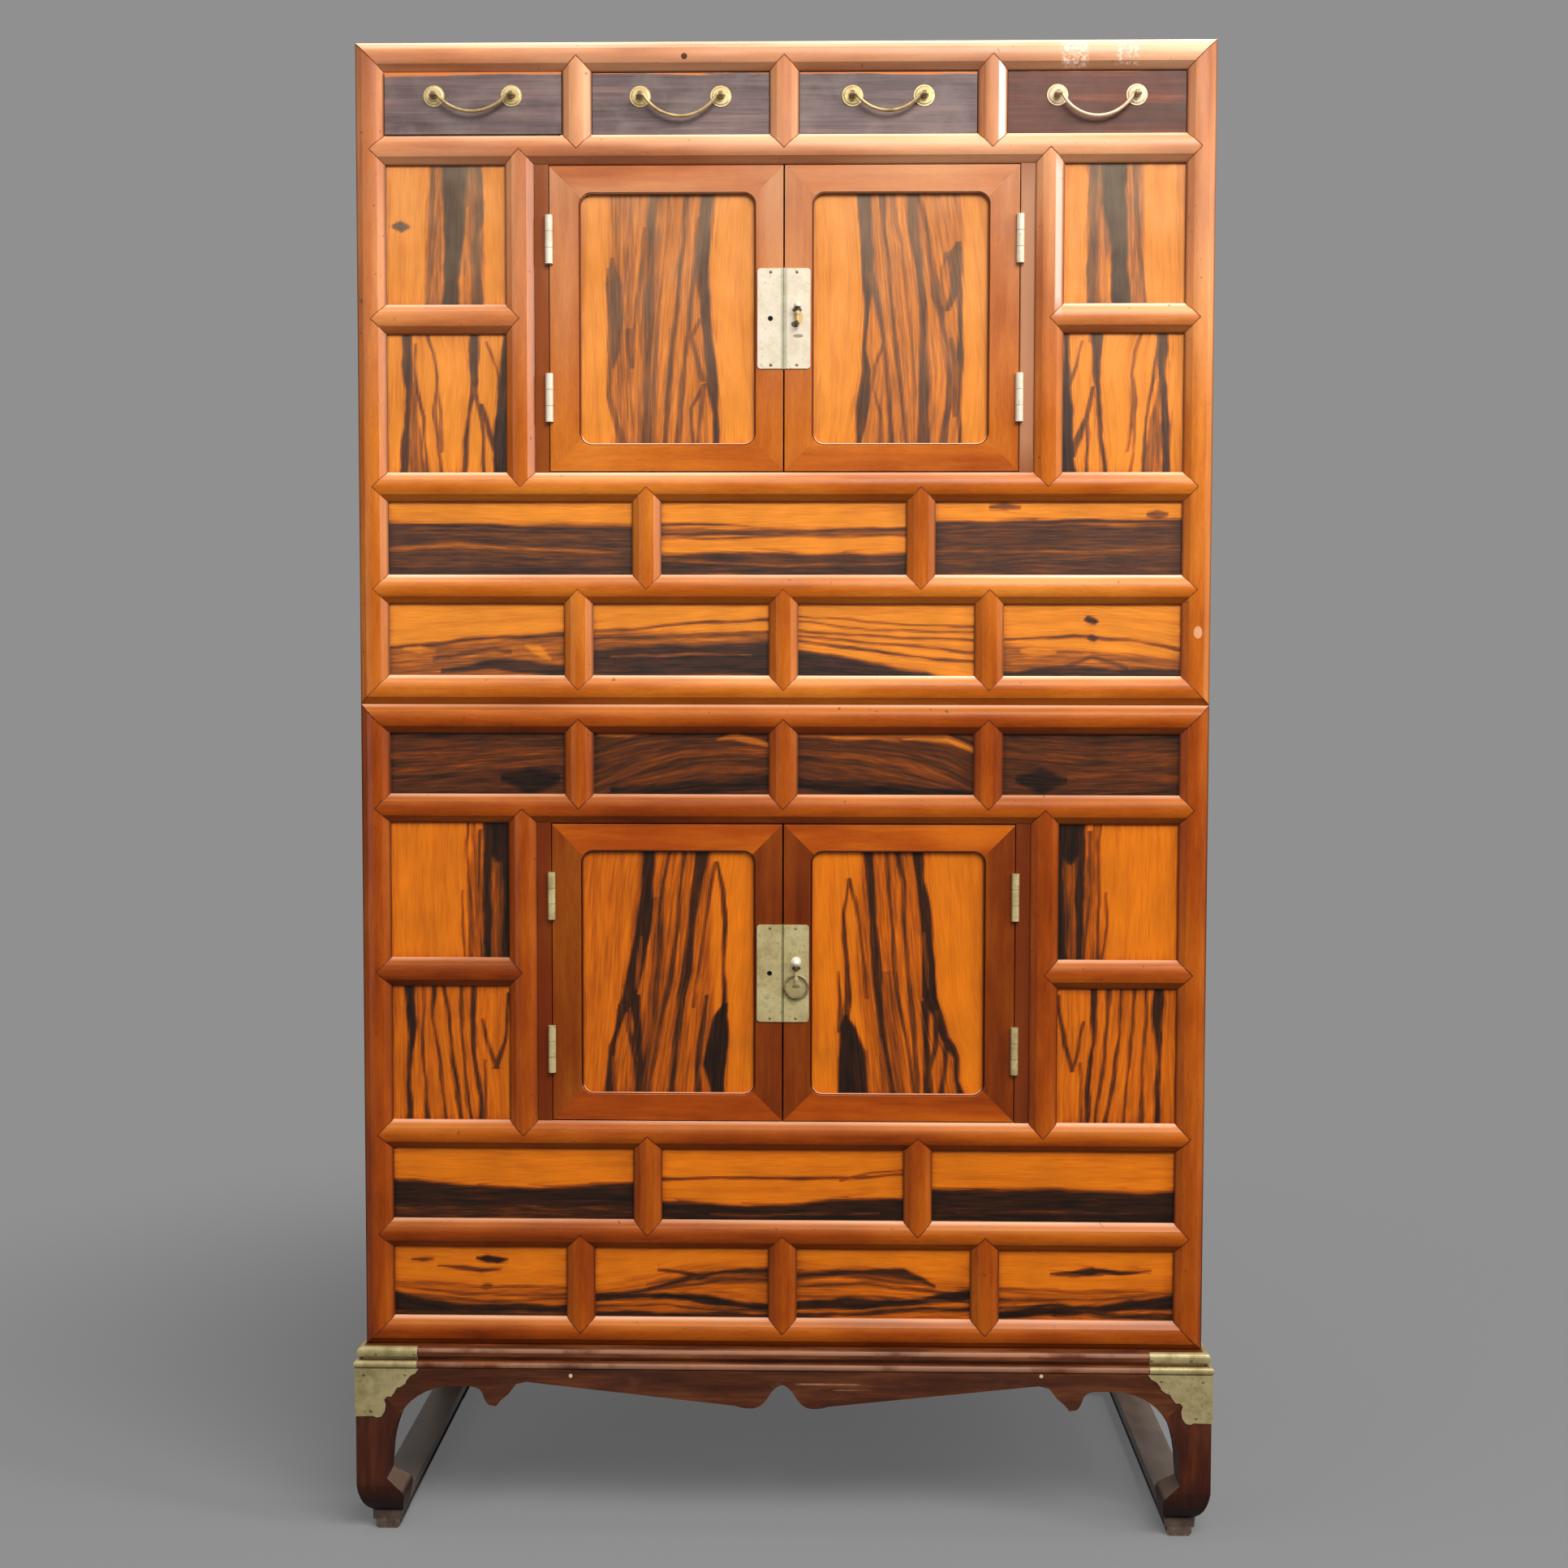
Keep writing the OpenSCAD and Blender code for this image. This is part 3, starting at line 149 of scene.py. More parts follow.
# %% [markdown]
# ## Floor, backdrop and light
#
# The studio is a seamless mid grey. The world shows that grey to the camera and
# through anything clear, and lights the chest evenly. The floor only has to hold
# the shadow, so near the chest it is a plain matt surface and further out it
# fades into the same grey as the world.

# %% World
GREY = "#909090"
AMBIENT = 0.38
world = bpy.data.worlds.new("studio")
bpy.context.scene.world = world
world.use_nodes = True
tree = world.node_tree
tree.nodes.clear()
path = add(tree, "LightPath")
seen = add(tree, "Math", path.outputs["Is Camera Ray"], path.outputs["Is Transmission Ray"],
           operation="MAXIMUM")
backdrop = add(tree, "Background", {"Color": linear(GREY), "Strength": 1.0})
lighting = add(tree, "Background", {"Color": linear("#F2F2F2"), "Strength": AMBIENT})
either = add(tree, "MixShader", {0: seen, 1: lighting, 2: backdrop})
add(tree, "OutputWorld", {"Surface": either})
print("world grey", GREY)

# %% Floor
FLOOR_RADIUS, FLOOR_RING = 14, 11.5
# Within the first distance the floor is mostly paper, and past the second it is all backdrop.
SHADOW_MIDDLE, SHADOW_ENDS = (0, -0.1, 0), (0.7, 1.7)
bpy.ops.mesh.primitive_circle_add(vertices=96, radius=FLOOR_RADIUS, fill_type="NGON", location=(0, 0, 0))
floor = bpy.context.object
floor.name = "floor"
bpy.ops.object.mode_set(mode="EDIT")
bpy.ops.mesh.inset(thickness=FLOOR_RING)
bpy.ops.object.mode_set(mode="OBJECT")
material, tree = new_material("matt_grey_paper")
place = add(tree, "TexCoord")
away = add(tree, "VectorMath", place.outputs["Object"], SHADOW_MIDDLE, operation="DISTANCE")
far = add(tree, "MapRange", away.outputs["Value"], *SHADOW_ENDS, 0.35, 1.0, interpolation_type="SMOOTHSTEP")
path = add(tree, "LightPath")
plain = add(tree, "Math", far, path.outputs["Is Camera Ray"], operation="MULTIPLY")
paper = add(tree, "BsdfDiffuse", {"Color": linear("#78797B"), "Roughness": 1.0})
glow = add(tree, "Emission", {"Color": linear(GREY), "Strength": 1.0})
blend = add(tree, "MixShader", {0: plain, 1: paper, 2: glow})
add(tree, "OutputMaterial", {"Surface": blend})
floor.data.materials.append(material)
print("floor faces:", len(floor.data.polygons))

# %% [markdown]
# The light is a large soft one high on the right, with a weak fill from the
# front left. A tall soft box at the right puts the pale lines on the bevels
# that face it, and one overhead does the same for the upper edges of the rails.

# %% Lights
def soft_box(name, at, to, size, power, tint="#FFFFFF"):
    data = bpy.data.lights.new(name, "AREA")
    data.shape = "RECTANGLE"
    data.size, data.size_y = size
    data.energy = power
    data.color = linear(tint)[:3]
    lamp = bpy.data.objects.new(name, data)
    bpy.context.scene.collection.objects.link(lamp)
    lamp.location = at
    lamp.rotation_euler = (Vector(to) - Vector(at)).to_track_quat("-Z", "Y").to_euler()
    print(name, "at", at, "power", power)


soft_box("key_top_right", (1.1, -2.4, 3.1), (0, -0.1, 1.2), (2.6, 1.4), 150, "#FFFCF8")
soft_box("side_right", (2.7, -1.25, 1.75), (0, -0.2, 1.2), (0.5, 1.3), 34)
soft_box("overhead", (0.0, -0.15, 3.0), (0, -0.15, 1.0), (2.4, 0.7), 28)
soft_box("fill_left", (-2.4, -2.4, 1.0), (0, 0, 0.7), (1.6, 1.8), 16)

# %% [markdown]
# ## Reading boards off the frame
#
# A CAD node can hold many boards at once. Its mesh is loose triangles, so the
# corners that share a place are joined first, and every group of triangles that
# hang together is one board. The box of each board tells where a new, finer one
# has to go.

# %% Find the solids of a node
SNAP = 50000  # steps per metre: corners within the same 0.02 mm are one corner


def solids(node):
    mesh = nodes[node].data
    keys, parent = {}, []

    def root(i):
        while parent[i] != i:
            parent[i] = parent[parent[i]]
            i = parent[i]
        return i

    index = []
    for v in mesh.vertices:
        key = tuple(round(c * SNAP) for c in v.co)
        if key not in keys:
            keys[key] = len(parent)
            parent.append(len(parent))
        index.append(keys[key])
    for face in mesh.polygons:
        first = root(index[face.vertices[0]])
        for v in face.vertices[1:]:
            parent[root(index[v])] = first
    groups = {}
    for v, i in zip(mesh.vertices, index):
        groups.setdefault(root(i), []).append(v.co)
    boxes = []
    for points in groups.values():
        a = np.array(points)
        boxes.append((a.min(0), a.max(0)))
    return sorted(boxes, key=lambda b: (round(b[0][2], 2), b[0][0]))


for node in ("upper_front_panels", "lower_front_panels", "lower_dark_panels"):
    print(node, len(solids(node)), "boards")

# %% [markdown]
# ## The figure of the boards
#
# Black-heart persimmon is pale orange wood with a dark heart that runs through
# it in bands, forks and flames, and the maker split each board so that the two
# halves of the front mirror each other. Noise alone gives stripes but no
# composition. So each board gets a short list of strokes, given one by one: how
# dark, and where the stroke lies and how wide it is at a few places along the
# grain. Later strokes cover earlier ones.
#
# A stroke is (darkness, [(along, across, half width), ...]), all as parts of
# the board's length and width. A knot is one short, wide stroke.

# %% Strokes of the upright boards in the columns
COLUMN_UPPER_TOP = [
    (0.30, [(0, 0.43, 0.07), (0.5, 0.40, 0.07), (1, 0.39, 0.08)]),
    (0.52, [(0, 0.41, 0.02), (0.4, 0.38, 0.015), (1, 0.34, 0.012)]),
    (0.42, [(0, 0.70, 0.10), (0.4, 0.72, 0.09), (1, 0.74, 0.07)]),
    (0.62, [(0, 0.76, 0.03), (0.35, 0.78, 0.03), (0.6, 0.76, 0.03), (1, 0.76, 0.035)]),
    (0.18, [(0.3, 0.69, 0.01), (0.6, 0.67, 0.03), (1, 0.66, 0.03)]),
    (0.95, [(0, 0.59, 0.11), (0.25, 0.57, 0.09), (0.6, 0.55, 0.07), (1, 0.535, 0.07)]),
]
COLUMN_UPPER_LOW = [
    (0.76, [(0, 0.17, 0.04), (0.5, 0.165, 0.03), (0.8, 0.15, 0.03), (1, 0.14, 0.035)]),
    (0.40, [(0.35, 0.21, 0.01), (0.7, 0.24, 0.05), (1, 0.25, 0.07)]),
    (0.58, [(0.06, 0.23, 0.008), (0.35, 0.25, 0.012), (0.6, 0.30, 0.012), (1, 0.32, 0.014)]),
    (0.50, [(0, 0.35, 0.012), (0.14, 0.40, 0.012), (0.3, 0.42, 0.012), (0.52, 0.39, 0.016),
            (0.8, 0.41, 0.012), (1, 0.45, 0.012)]),
    (0.45, [(0.3, 0.42, 0.008), (0.52, 0.43, 0.012), (0.85, 0.46, 0.012)]),
    (0.74, [(0, 0.72, 0.04), (0.35, 0.73, 0.028), (0.6, 0.69, 0.014), (1, 0.635, 0.02)]),
    (0.55, [(0.38, 0.74, 0.02), (0.62, 0.79, 0.02), (0.8, 0.79, 0.01), (1, 0.80, 0.012)]),
    (0.62, [(0.5, 0.77, 0.015), (0.75, 0.87, 0.03), (0.88, 0.92, 0.02)]),
    (0.50, [(0.05, 0.83, 0.01), (0.27, 0.91, 0.014), (0.4, 0.97, 0.012)]),
    (0.92, [(0, 0.99, 0.02), (0.45, 0.97, 0.035), (0.75, 0.95, 0.05), (1, 0.94, 0.06)]),
]
COLUMN_LOWER_TOP = [
    (0.30, [(0, 0.70, 0.02), (0.4, 0.72, 0.06), (1, 0.72, 0.09)]),
    (0.55, [(0, 0.66, 0.010), (0.4, 0.65, 0.010), (1, 0.675, 0.014)]),
    (0.50, [(0.5, 0.60, 0.008), (0.75, 0.60, 0.010), (1, 0.63, 0.012)]),
    (0.55, [(0.05, 0.745, 0.015), (0.5, 0.74, 0.014), (1, 0.77, 0.016)]),
    (0.62, [(0, 0.90, 0.12), (1, 0.90, 0.12)]),
    (0.45, [(0.3, 0.89, 0.03), (0.7, 0.88, 0.035), (1, 0.88, 0.03)]),
    (0.97, [(0, 0.905, 0.11), (0.2, 0.905, 0.11), (0.3, 0.905, 0.0)]),
    (0.92, [(0, 0.82, 0.03), (0.5, 0.82, 0.03), (1, 0.81, 0.025)]),
    (0.95, [(0, 0.985, 0.03), (0.5, 0.985, 0.028), (1, 0.975, 0.04)]),
]
COLUMN_LOWER_LOW = [
    (0.13, [(0, 0.45, 0.5), (1, 0.45, 0.5)]),
    (0.86, [(0, 0.14, 0.045), (0.28, 0.16, 0.035), (0.5, 0.15, 0.016), (1, 0.14, 0.022)]),
    (0.60, [(0, 0.26, 0.012), (0.5, 0.265, 0.010), (1, 0.285, 0.020)]),
    (0.62, [(0, 0.36, 0.020), (0.25, 0.35, 0.014), (0.6, 0.395, 0.012), (1, 0.445, 0.012)]),
    (0.66, [(0, 0.445, 0.012), (0.35, 0.48, 0.012), (0.65, 0.525, 0.015), (1, 0.59, 0.020)]),
    (0.60, [(0, 0.57, 0.020), (0.3, 0.59, 0.014), (0.65, 0.62, 0.014), (1, 0.665, 0.014)]),
    (0.76, [(0, 0.70, 0.026), (0.4, 0.69, 0.020), (0.8, 0.735, 0.020), (1, 0.745, 0.020)]),
    (0.62, [(0.25, 0.77, 0.010), (0.5, 0.825, 0.014), (0.62, 0.877, 0.02)]),
    (0.62, [(0.05, 0.99, 0.02), (0.42, 0.945, 0.014), (0.62, 0.877, 0.02)]),
    (0.45, [(0.55, 0.80, 0.012), (1, 0.78, 0.016)]),
]
# The left board at the top of the upper case has a knot that its mirrored twin lacks.
KNOT = [(0.75, [(0.395, 0.11, 0.0), (0.425, 0.11, 0.075), (0.445, 0.12, 0.07), (0.475, 0.13, 0.0)])]
COLUMNS = {"upper": (COLUMN_UPPER_LOW, COLUMN_UPPER_LOW, COLUMN_UPPER_TOP + KNOT, COLUMN_UPPER_TOP),
           "lower": (COLUMN_LOWER_LOW, COLUMN_LOWER_LOW, COLUMN_LOWER_TOP, COLUMN_LOWER_TOP)}
print("upright boards:", [len(strokes) for case in COLUMNS.values() for strokes in case], "strokes")

# %% Strokes of the upper door boards
DOOR_UPPER_LEFT = [
    (0.20, [(0, 0.45, 0.29), (0.5, 0.45, 0.28), (1, 0.46, 0.28)]),
    (0.30, [(0, 0.24, 0.07), (0.5, 0.24, 0.06), (1, 0.27, 0.05)]),
    (0.60, [(0.26, 0.19, 0.01), (0.36, 0.20, 0.045), (0.5, 0.205, 0.04), (0.62, 0.20, 0.03),
            (0.69, 0.19, 0.01)]),
    (0.58, [(0.54, 0.275, 0.012), (0.62, 0.285, 0.025), (0.69, 0.29, 0.01)]),
    (0.50, [(0.3, 0.163, 0.010), (0.8, 0.17, 0.012), (0.92, 0.215, 0.02), (1, 0.255, 0.024)]),
    (0.50, [(0.14, 0.37, 0.010), (0.34, 0.34, 0.012), (0.51, 0.32, 0.014), (0.64, 0.30, 0.02)]),
    (0.34, [(0, 0.43, 0.05), (0.4, 0.40, 0.045), (1, 0.38, 0.06)]),
    (0.60, [(0, 0.43, 0.030), (0.25, 0.41, 0.026), (0.45, 0.39, 0.022), (0.65, 0.385, 0.018),
            (0.8, 0.375, 0.022), (1, 0.38, 0.036)]),
    (0.42, [(0, 0.51, 0.008), (0.2, 0.485, 0.008), (0.4, 0.457, 0.008), (0.55, 0.433, 0.008),
            (1, 0.42, 0.01)]),
    (0.60, [(0, 0.60, 0.012), (0.2, 0.587, 0.011), (0.4, 0.558, 0.012), (0.6, 0.534, 0.011),
            (0.78, 0.51, 0.012), (1, 0.476, 0.014)]),
    (0.55, [(0.1, 0.68, 0.008), (0.3, 0.655, 0.012), (0.52, 0.625, 0.014), (0.66, 0.591, 0.012),
            (0.82, 0.567, 0.012), (1, 0.553, 0.014)]),
    (0.76, [(0, 0.735, 0.046), (0.18, 0.71, 0.036), (0.36, 0.697, 0.028), (0.48, 0.705, 0.026),
            (0.65, 0.73, 0.034), (0.77, 0.755, 0.03), (0.88, 0.774, 0.014), (1, 0.777, 0.014)]),
    (0.40, [(0, 0.755, 0.010), (0.12, 0.745, 0.010), (0.2, 0.735, 0.004)]),
    (0.50, [(0.5, 0.69, 0.010), (0.57, 0.635, 0.010), (0.64, 0.66, 0.010), (0.74, 0.70, 0.018)]),
    (0.55, [(0.76, 0.70, 0.012), (0.85, 0.625, 0.010), (0.93, 0.628, 0.010), (1, 0.64, 0.012)]),
    (0.50, [(0.77, 0.70, 0.012), (0.88, 0.69, 0.010), (1, 0.68, 0.010)]),
]
DOOR_UPPER_RIGHT = [
    (0.20, [(0, 0.57, 0.28), (0.5, 0.57, 0.27), (1, 0.56, 0.28)]),
    (0.76, [(0, 0.285, 0.040), (0.22, 0.312, 0.030), (0.38, 0.32, 0.028), (0.5, 0.31, 0.012),
            (0.62, 0.30, 0.010), (0.7, 0.315, 0.026), (0.84, 0.29, 0.034), (0.93, 0.27, 0.02),
            (1, 0.255, 0.014)]),
    (0.60, [(0.32, 0.336, 0.016), (0.46, 0.384, 0.014), (0.57, 0.403, 0.012), (0.7, 0.417, 0.012),
            (0.85, 0.431, 0.012), (1, 0.455, 0.016)]),
    (0.50, [(0.6, 0.40, 0.010), (0.68, 0.355, 0.010), (0.77, 0.35, 0.010), (0.88, 0.40, 0.012),
            (1, 0.39, 0.012)]),
    (0.60, [(0, 0.39, 0.016), (0.16, 0.403, 0.012), (0.37, 0.44, 0.012), (0.54, 0.469, 0.012),
            (0.7, 0.498, 0.012), (1, 0.536, 0.014)]),
    (0.42, [(0, 0.455, 0.014), (0.12, 0.465, 0.012), (0.2, 0.507, 0.008), (0.4, 0.54, 0.008),
            (0.57, 0.564, 0.008), (0.78, 0.578, 0.008), (1, 0.58, 0.01)]),
    (0.66, [(0, 0.572, 0.032), (0.16, 0.583, 0.026), (0.3, 0.602, 0.020), (0.44, 0.62, 0.022),
            (0.64, 0.626, 0.020), (0.85, 0.626, 0.026), (1, 0.63, 0.036)]),
    (0.60, [(0.02, 0.602, 0.010), (0.18, 0.645, 0.012), (0.32, 0.678, 0.014), (0.4, 0.70, 0.028),
            (0.46, 0.725, 0.026), (0.52, 0.735, 0.014), (0.62, 0.763, 0.012), (0.72, 0.78, 0.016),
            (0.85, 0.777, 0.014), (1, 0.75, 0.02)]),
    (0.62, [(0.2, 0.82, 0.016), (0.25, 0.80, 0.040), (0.3, 0.815, 0.030), (0.4, 0.80, 0.022),
            (0.46, 0.765, 0.012)]),
    (0.45, [(0.24, 0.76, 0.016), (0.3, 0.735, 0.010), (0.38, 0.735, 0.010), (0.44, 0.745, 0.014)]),
    (0.66, [(0.22, 0.832, 0.014), (0.42, 0.828, 0.012), (0.65, 0.83, 0.014), (1, 0.84, 0.012)]),
    (0.48, [(0.58, 0.79, 0.008), (0.68, 0.805, 0.030), (0.8, 0.805, 0.028), (0.88, 0.815, 0.01)]),
]
print("upper door boards:", len(DOOR_UPPER_LEFT), len(DOOR_UPPER_RIGHT), "strokes")

# %% Strokes of the lower door boards
DOOR_LOWER_LEFT = [
    (0.13, [(0, 0.15, 0.2), (0.5, 0.12, 0.2), (1, 0.06, 0.2)]),
    (0.24, [(0, 0.55, 0.20), (0.5, 0.5, 0.25), (1, 0.44, 0.32)]),
    (0.40, [(0.2, 0.44, 0.03), (0.6, 0.42, 0.05), (1, 0.34, 0.06)]),
    (0.88, [(0, 0.385, 0.036), (0.17, 0.373, 0.034), (0.34, 0.346, 0.040), (0.47, 0.318, 0.044),
            (0.6, 0.281, 0.044), (0.66, 0.245, 0.036)]),
    (0.52, [(0.36, 0.352, 0.006), (0.48, 0.335, 0.012), (0.57, 0.315, 0.006)]),
    (0.80, [(0.64, 0.235, 0.024), (0.74, 0.198, 0.012), (0.8, 0.166, 0.022), (1, 0.157, 0.028)]),
    (0.45, [(0.85, 0.185, 0.008), (1, 0.20, 0.014)]),
    (0.86, [(0.6, 0.31, 0.034), (0.72, 0.327, 0.018), (0.86, 0.327, 0.022), (1, 0.323, 0.030)]),
    (0.70, [(0.66, 0.27, 0.012), (0.74, 0.262, 0.012), (0.86, 0.30, 0.014)]),
    (0.65, [(0, 0.511, 0.010), (0.13, 0.475, 0.012), (0.27, 0.456, 0.012), (0.47, 0.433, 0.014),
            (0.54, 0.419, 0.014), (0.7, 0.41, 0.012), (0.9, 0.364, 0.016), (1, 0.346, 0.016)]),
    (0.62, [(0, 0.594, 0.010), (0.15, 0.567, 0.012), (0.37, 0.535, 0.012), (0.54, 0.511, 0.014),
            (0.64, 0.479, 0.012), (0.77, 0.438, 0.012), (1, 0.387, 0.014)]),
    (0.78, [(0, 0.69, 0.036), (0.13, 0.66, 0.030), (0.3, 0.64, 0.026), (0.5, 0.613, 0.026),
            (0.6, 0.576, 0.022), (0.77, 0.548, 0.018), (1, 0.51, 0.022)]),
    (0.52, [(0.05, 0.78, 0.008), (0.15, 0.75, 0.010), (0.27, 0.723, 0.010), (0.38, 0.696, 0.010),
            (0.5, 0.668, 0.010), (0.64, 0.64, 0.01)]),
    (0.72, [(0.05, 0.78, 0.006), (0.16, 0.808, 0.012), (0.3, 0.82, 0.012), (0.5, 0.811, 0.014),
            (0.66, 0.816, 0.016)]),
    (0.72, [(0.6, 0.723, 0.012), (0.72, 0.705, 0.018), (0.9, 0.668, 0.016), (1, 0.668, 0.020)]),
    (0.97, [(0.63, 0.83, 0.012), (0.68, 0.80, 0.040), (0.8, 0.775, 0.068), (0.88, 0.76, 0.070),
            (0.93, 0.77, 0.05), (1, 0.78, 0.03)]),
]
DOOR_LOWER_RIGHT = [
    (0.22, [(0, 0.46, 0.16), (0.5, 0.48, 0.22), (1, 0.60, 0.26)]),
    (0.66, [(0.12, 0.217, 0.006), (0.26, 0.189, 0.012), (0.36, 0.189, 0.012), (0.5, 0.203, 0.012),
            (0.6, 0.212, 0.016), (0.7, 0.205, 0.018)]),
    (0.52, [(0.12, 0.217, 0.012), (0.21, 0.249, 0.012), (0.33, 0.281, 0.010), (0.43, 0.304, 0.010),
            (0.6, 0.332, 0.010)]),
    (0.60, [(0.5, 0.165, 0.006), (0.66, 0.17, 0.014), (0.74, 0.18, 0.02)]),
    (0.97, [(0.68, 0.20, 0.010), (0.73, 0.21, 0.048), (0.82, 0.235, 0.072), (1, 0.245, 0.082)]),
    (0.42, [(0.5, 0.41, 0.05), (1, 0.49, 0.07)]),
    (0.78, [(0, 0.32, 0.032), (0.13, 0.341, 0.028), (0.3, 0.36, 0.022), (0.43, 0.378, 0.024),
            (0.57, 0.392, 0.020), (0.7, 0.415, 0.018), (0.84, 0.442, 0.015), (1, 0.47, 0.016)]),
    (0.60, [(0, 0.433, 0.010), (0.16, 0.452, 0.010), (0.34, 0.475, 0.010), (0.5, 0.489, 0.012),
            (0.64, 0.51, 0.010), (0.77, 0.544, 0.010), (1, 0.60, 0.012)]),
    (0.62, [(0, 0.498, 0.012), (0.13, 0.535, 0.014), (0.36, 0.54, 0.012), (0.5, 0.553, 0.010),
            (0.64, 0.576, 0.012), (0.77, 0.60, 0.012), (1, 0.622, 0.014)]),
    (0.88, [(0, 0.61, 0.034), (0.13, 0.627, 0.020), (0.23, 0.645, 0.028), (0.36, 0.664, 0.034),
            (0.5, 0.678, 0.040), (0.6, 0.69, 0.046), (0.67, 0.737, 0.030), (0.76, 0.775, 0.018),
            (0.8, 0.81, 0.022), (0.85, 0.843, 0.012), (0.94, 0.848, 0.010), (1, 0.87, 0.020)]),
    (0.50, [(0.34, 0.655, 0.006), (0.46, 0.672, 0.010), (0.56, 0.678, 0.006)]),
    (0.82, [(0.62, 0.66, 0.022), (0.77, 0.659, 0.022), (0.9, 0.668, 0.020), (1, 0.673, 0.024)]),
    (0.70, [(0.66, 0.72, 0.014), (0.8, 0.72, 0.016), (0.87, 0.70, 0.014), (0.97, 0.69, 0.012)]),
    (0.66, [(0.8, 0.79, 0.012), (0.9, 0.775, 0.014), (1, 0.75, 0.02)]),
]
print("lower door boards:", len(DOOR_LOWER_LEFT), len(DOOR_LOWER_RIGHT), "strokes")

# %% Strokes of the upper case's small boards, whose grain runs across
B_UPPER_LEFT = [
    (0.70, [(0, 0.62, 0.34), (0.3, 0.66, 0.35), (0.6, 0.68, 0.36), (1, 0.70, 0.34)]),
    (0.38, [(0, 0.64, 0.030), (0.3, 0.60, 0.036), (0.6, 0.66, 0.030), (0.85, 0.68, 0.016),
            (0.95, 0.68, 0.0)]),
    (0.86, [(0, 0.33, 0.018), (0.3, 0.33, 0.018), (0.6, 0.36, 0.020), (1, 0.38, 0.018)]),
    (0.82, [(0, 0.95, 0.06), (1, 0.95, 0.06)]),
]
B_UPPER_MIDDLE = [
    (0.60, [(0, 0.30, 0.022), (0.2, 0.31, 0.022), (0.32, 0.33, 0.010), (0.36, 0.34, 0.0)]),
    (0.40, [(0, 0.42, 0.05), (1, 0.40, 0.05)]),
    (0.70, [(0, 0.44, 0.020), (0.35, 0.42, 0.022), (0.7, 0.39, 0.020), (1, 0.38, 0.020)]),
    (0.50, [(0, 0.49, 0.014), (0.5, 0.47, 0.014), (1, 0.46, 0.014)]),
    (0.80, [(0, 0.85, 0.15), (0.5, 0.87, 0.15), (1, 0.85, 0.15)]),
    (0.46, [(0, 0.82, 0.016), (0.5, 0.86, 0.022), (1, 0.83, 0.016)]),
]
B_UPPER_RIGHT = [
    (0.72, [(0, 0.66, 0.38), (0.4, 0.65, 0.38), (0.8, 0.66, 0.38), (1, 0.64, 0.38)]),
    (0.50, [(0, 0.69, 0.024), (0.4, 0.66, 0.024), (0.8, 0.68, 0.024), (1, 0.66, 0.02)]),
    (0.86, [(0, 0.29, 0.020), (0.45, 0.28, 0.022), (1, 0.27, 0.018)]),
    (0.5, [(0.22, 0.09, 0.02), (0.28, 0.08, 0.05), (0.34, 0.09, 0.02)]),
    (0.5, [(0.86, 0.16, 0.02), (0.9, 0.16, 0.05), (0.94, 0.16, 0.02)]),
]
C_UPPER_1 = [
    (0.34, [(0, 0.80, 0.20), (1, 0.72, 0.28)]),
    (0.70, [(0, 0.61, 0.022), (0.5, 0.51, 0.024), (1, 0.42, 0.022)]),
    (0.62, [(0.25, 0.80, 0.03), (0.6, 0.62, 0.03), (0.78, 0.70, 0.03), (0.7, 0.86, 0.03)]),
    (0.10, [(0.08, 0.65, 0.02), (0.17, 0.65, 0.07), (0.26, 0.65, 0.02)]),
    (0.10, [(0.78, 0.60, 0.02), (0.86, 0.68, 0.09), (0.92, 0.80, 0.03)]),
    (0.88, [(0.3, 0.95, 0.03), (0.6, 0.86, 0.07), (1, 0.92, 0.08)]),
]
C_UPPER_2 = [
    (0.62, [(0, 0.37, 0.018), (0.5, 0.30, 0.018), (1, 0.21, 0.018)]),
    (0.36, [(0, 0.55, 0.12), (1, 0.50, 0.14)]),
    (0.62, [(0, 0.50, 0.018), (0.5, 0.43, 0.020), (1, 0.40, 0.018)]),
    (0.90, [(0, 0.80, 0.19), (0.4, 0.78, 0.21), (1, 0.79, 0.23)]),
    (0.40, [(0.1, 0.74, 0.014), (0.5, 0.72, 0.02), (0.9, 0.70, 0.012)]),
]
C_UPPER_3 = [
    (0.50, [(0, 0.17, 0.014), (0.4, 0.26, 0.014), (1, 0.30, 0.014)]),
    (0.46, [(0, 0.26, 0.014), (0.4, 0.34, 0.014), (1, 0.40, 0.014)]),
    (0.54, [(0, 0.35, 0.016), (0.4, 0.44, 0.016), (1, 0.52, 0.016)]),
    (0.50, [(0, 0.44, 0.016), (0.4, 0.55, 0.018), (1, 0.66, 0.018)]),
    (0.60, [(0, 0.53, 0.018), (0.4, 0.65, 0.020), (1, 0.80, 0.02)]),
    (0.94, [(0, 0.83, 0.20), (0.3, 0.90, 0.15), (0.72, 1.0, 0.05), (0.8, 1.05, 0.0)]),
]
C_UPPER_4 = [
    (0.85, [(0.455, 0.19, 0.005), (0.475, 0.19, 0.045), (0.515, 0.22, 0.045), (0.535, 0.23, 0.005)]),
    (0.58, [(0, 0.47, 0.020), (0.4, 0.44, 0.020), (0.7, 0.50, 0.022), (1, 0.65, 0.022)]),
    (0.80, [(0.475, 0.47, 0.01), (0.49, 0.47, 0.035), (0.515, 0.49, 0.035), (0.53, 0.49, 0.01)]),
    (0.34, [(0, 0.76, 0.2), (1, 0.86, 0.14)]),
    (0.10, [(0.1, 0.65, 0.02), (0.2, 0.65, 0.07), (0.3, 0.66, 0.02)]),
    (0.62, [(0.3, 0.92, 0.03), (0.5, 0.74, 0.03), (0.7, 0.90, 0.03)]),
    (0.90, [(0, 0.97, 0.05), (0.4, 0.95, 0.06), (1, 0.96, 0.06)]),
]
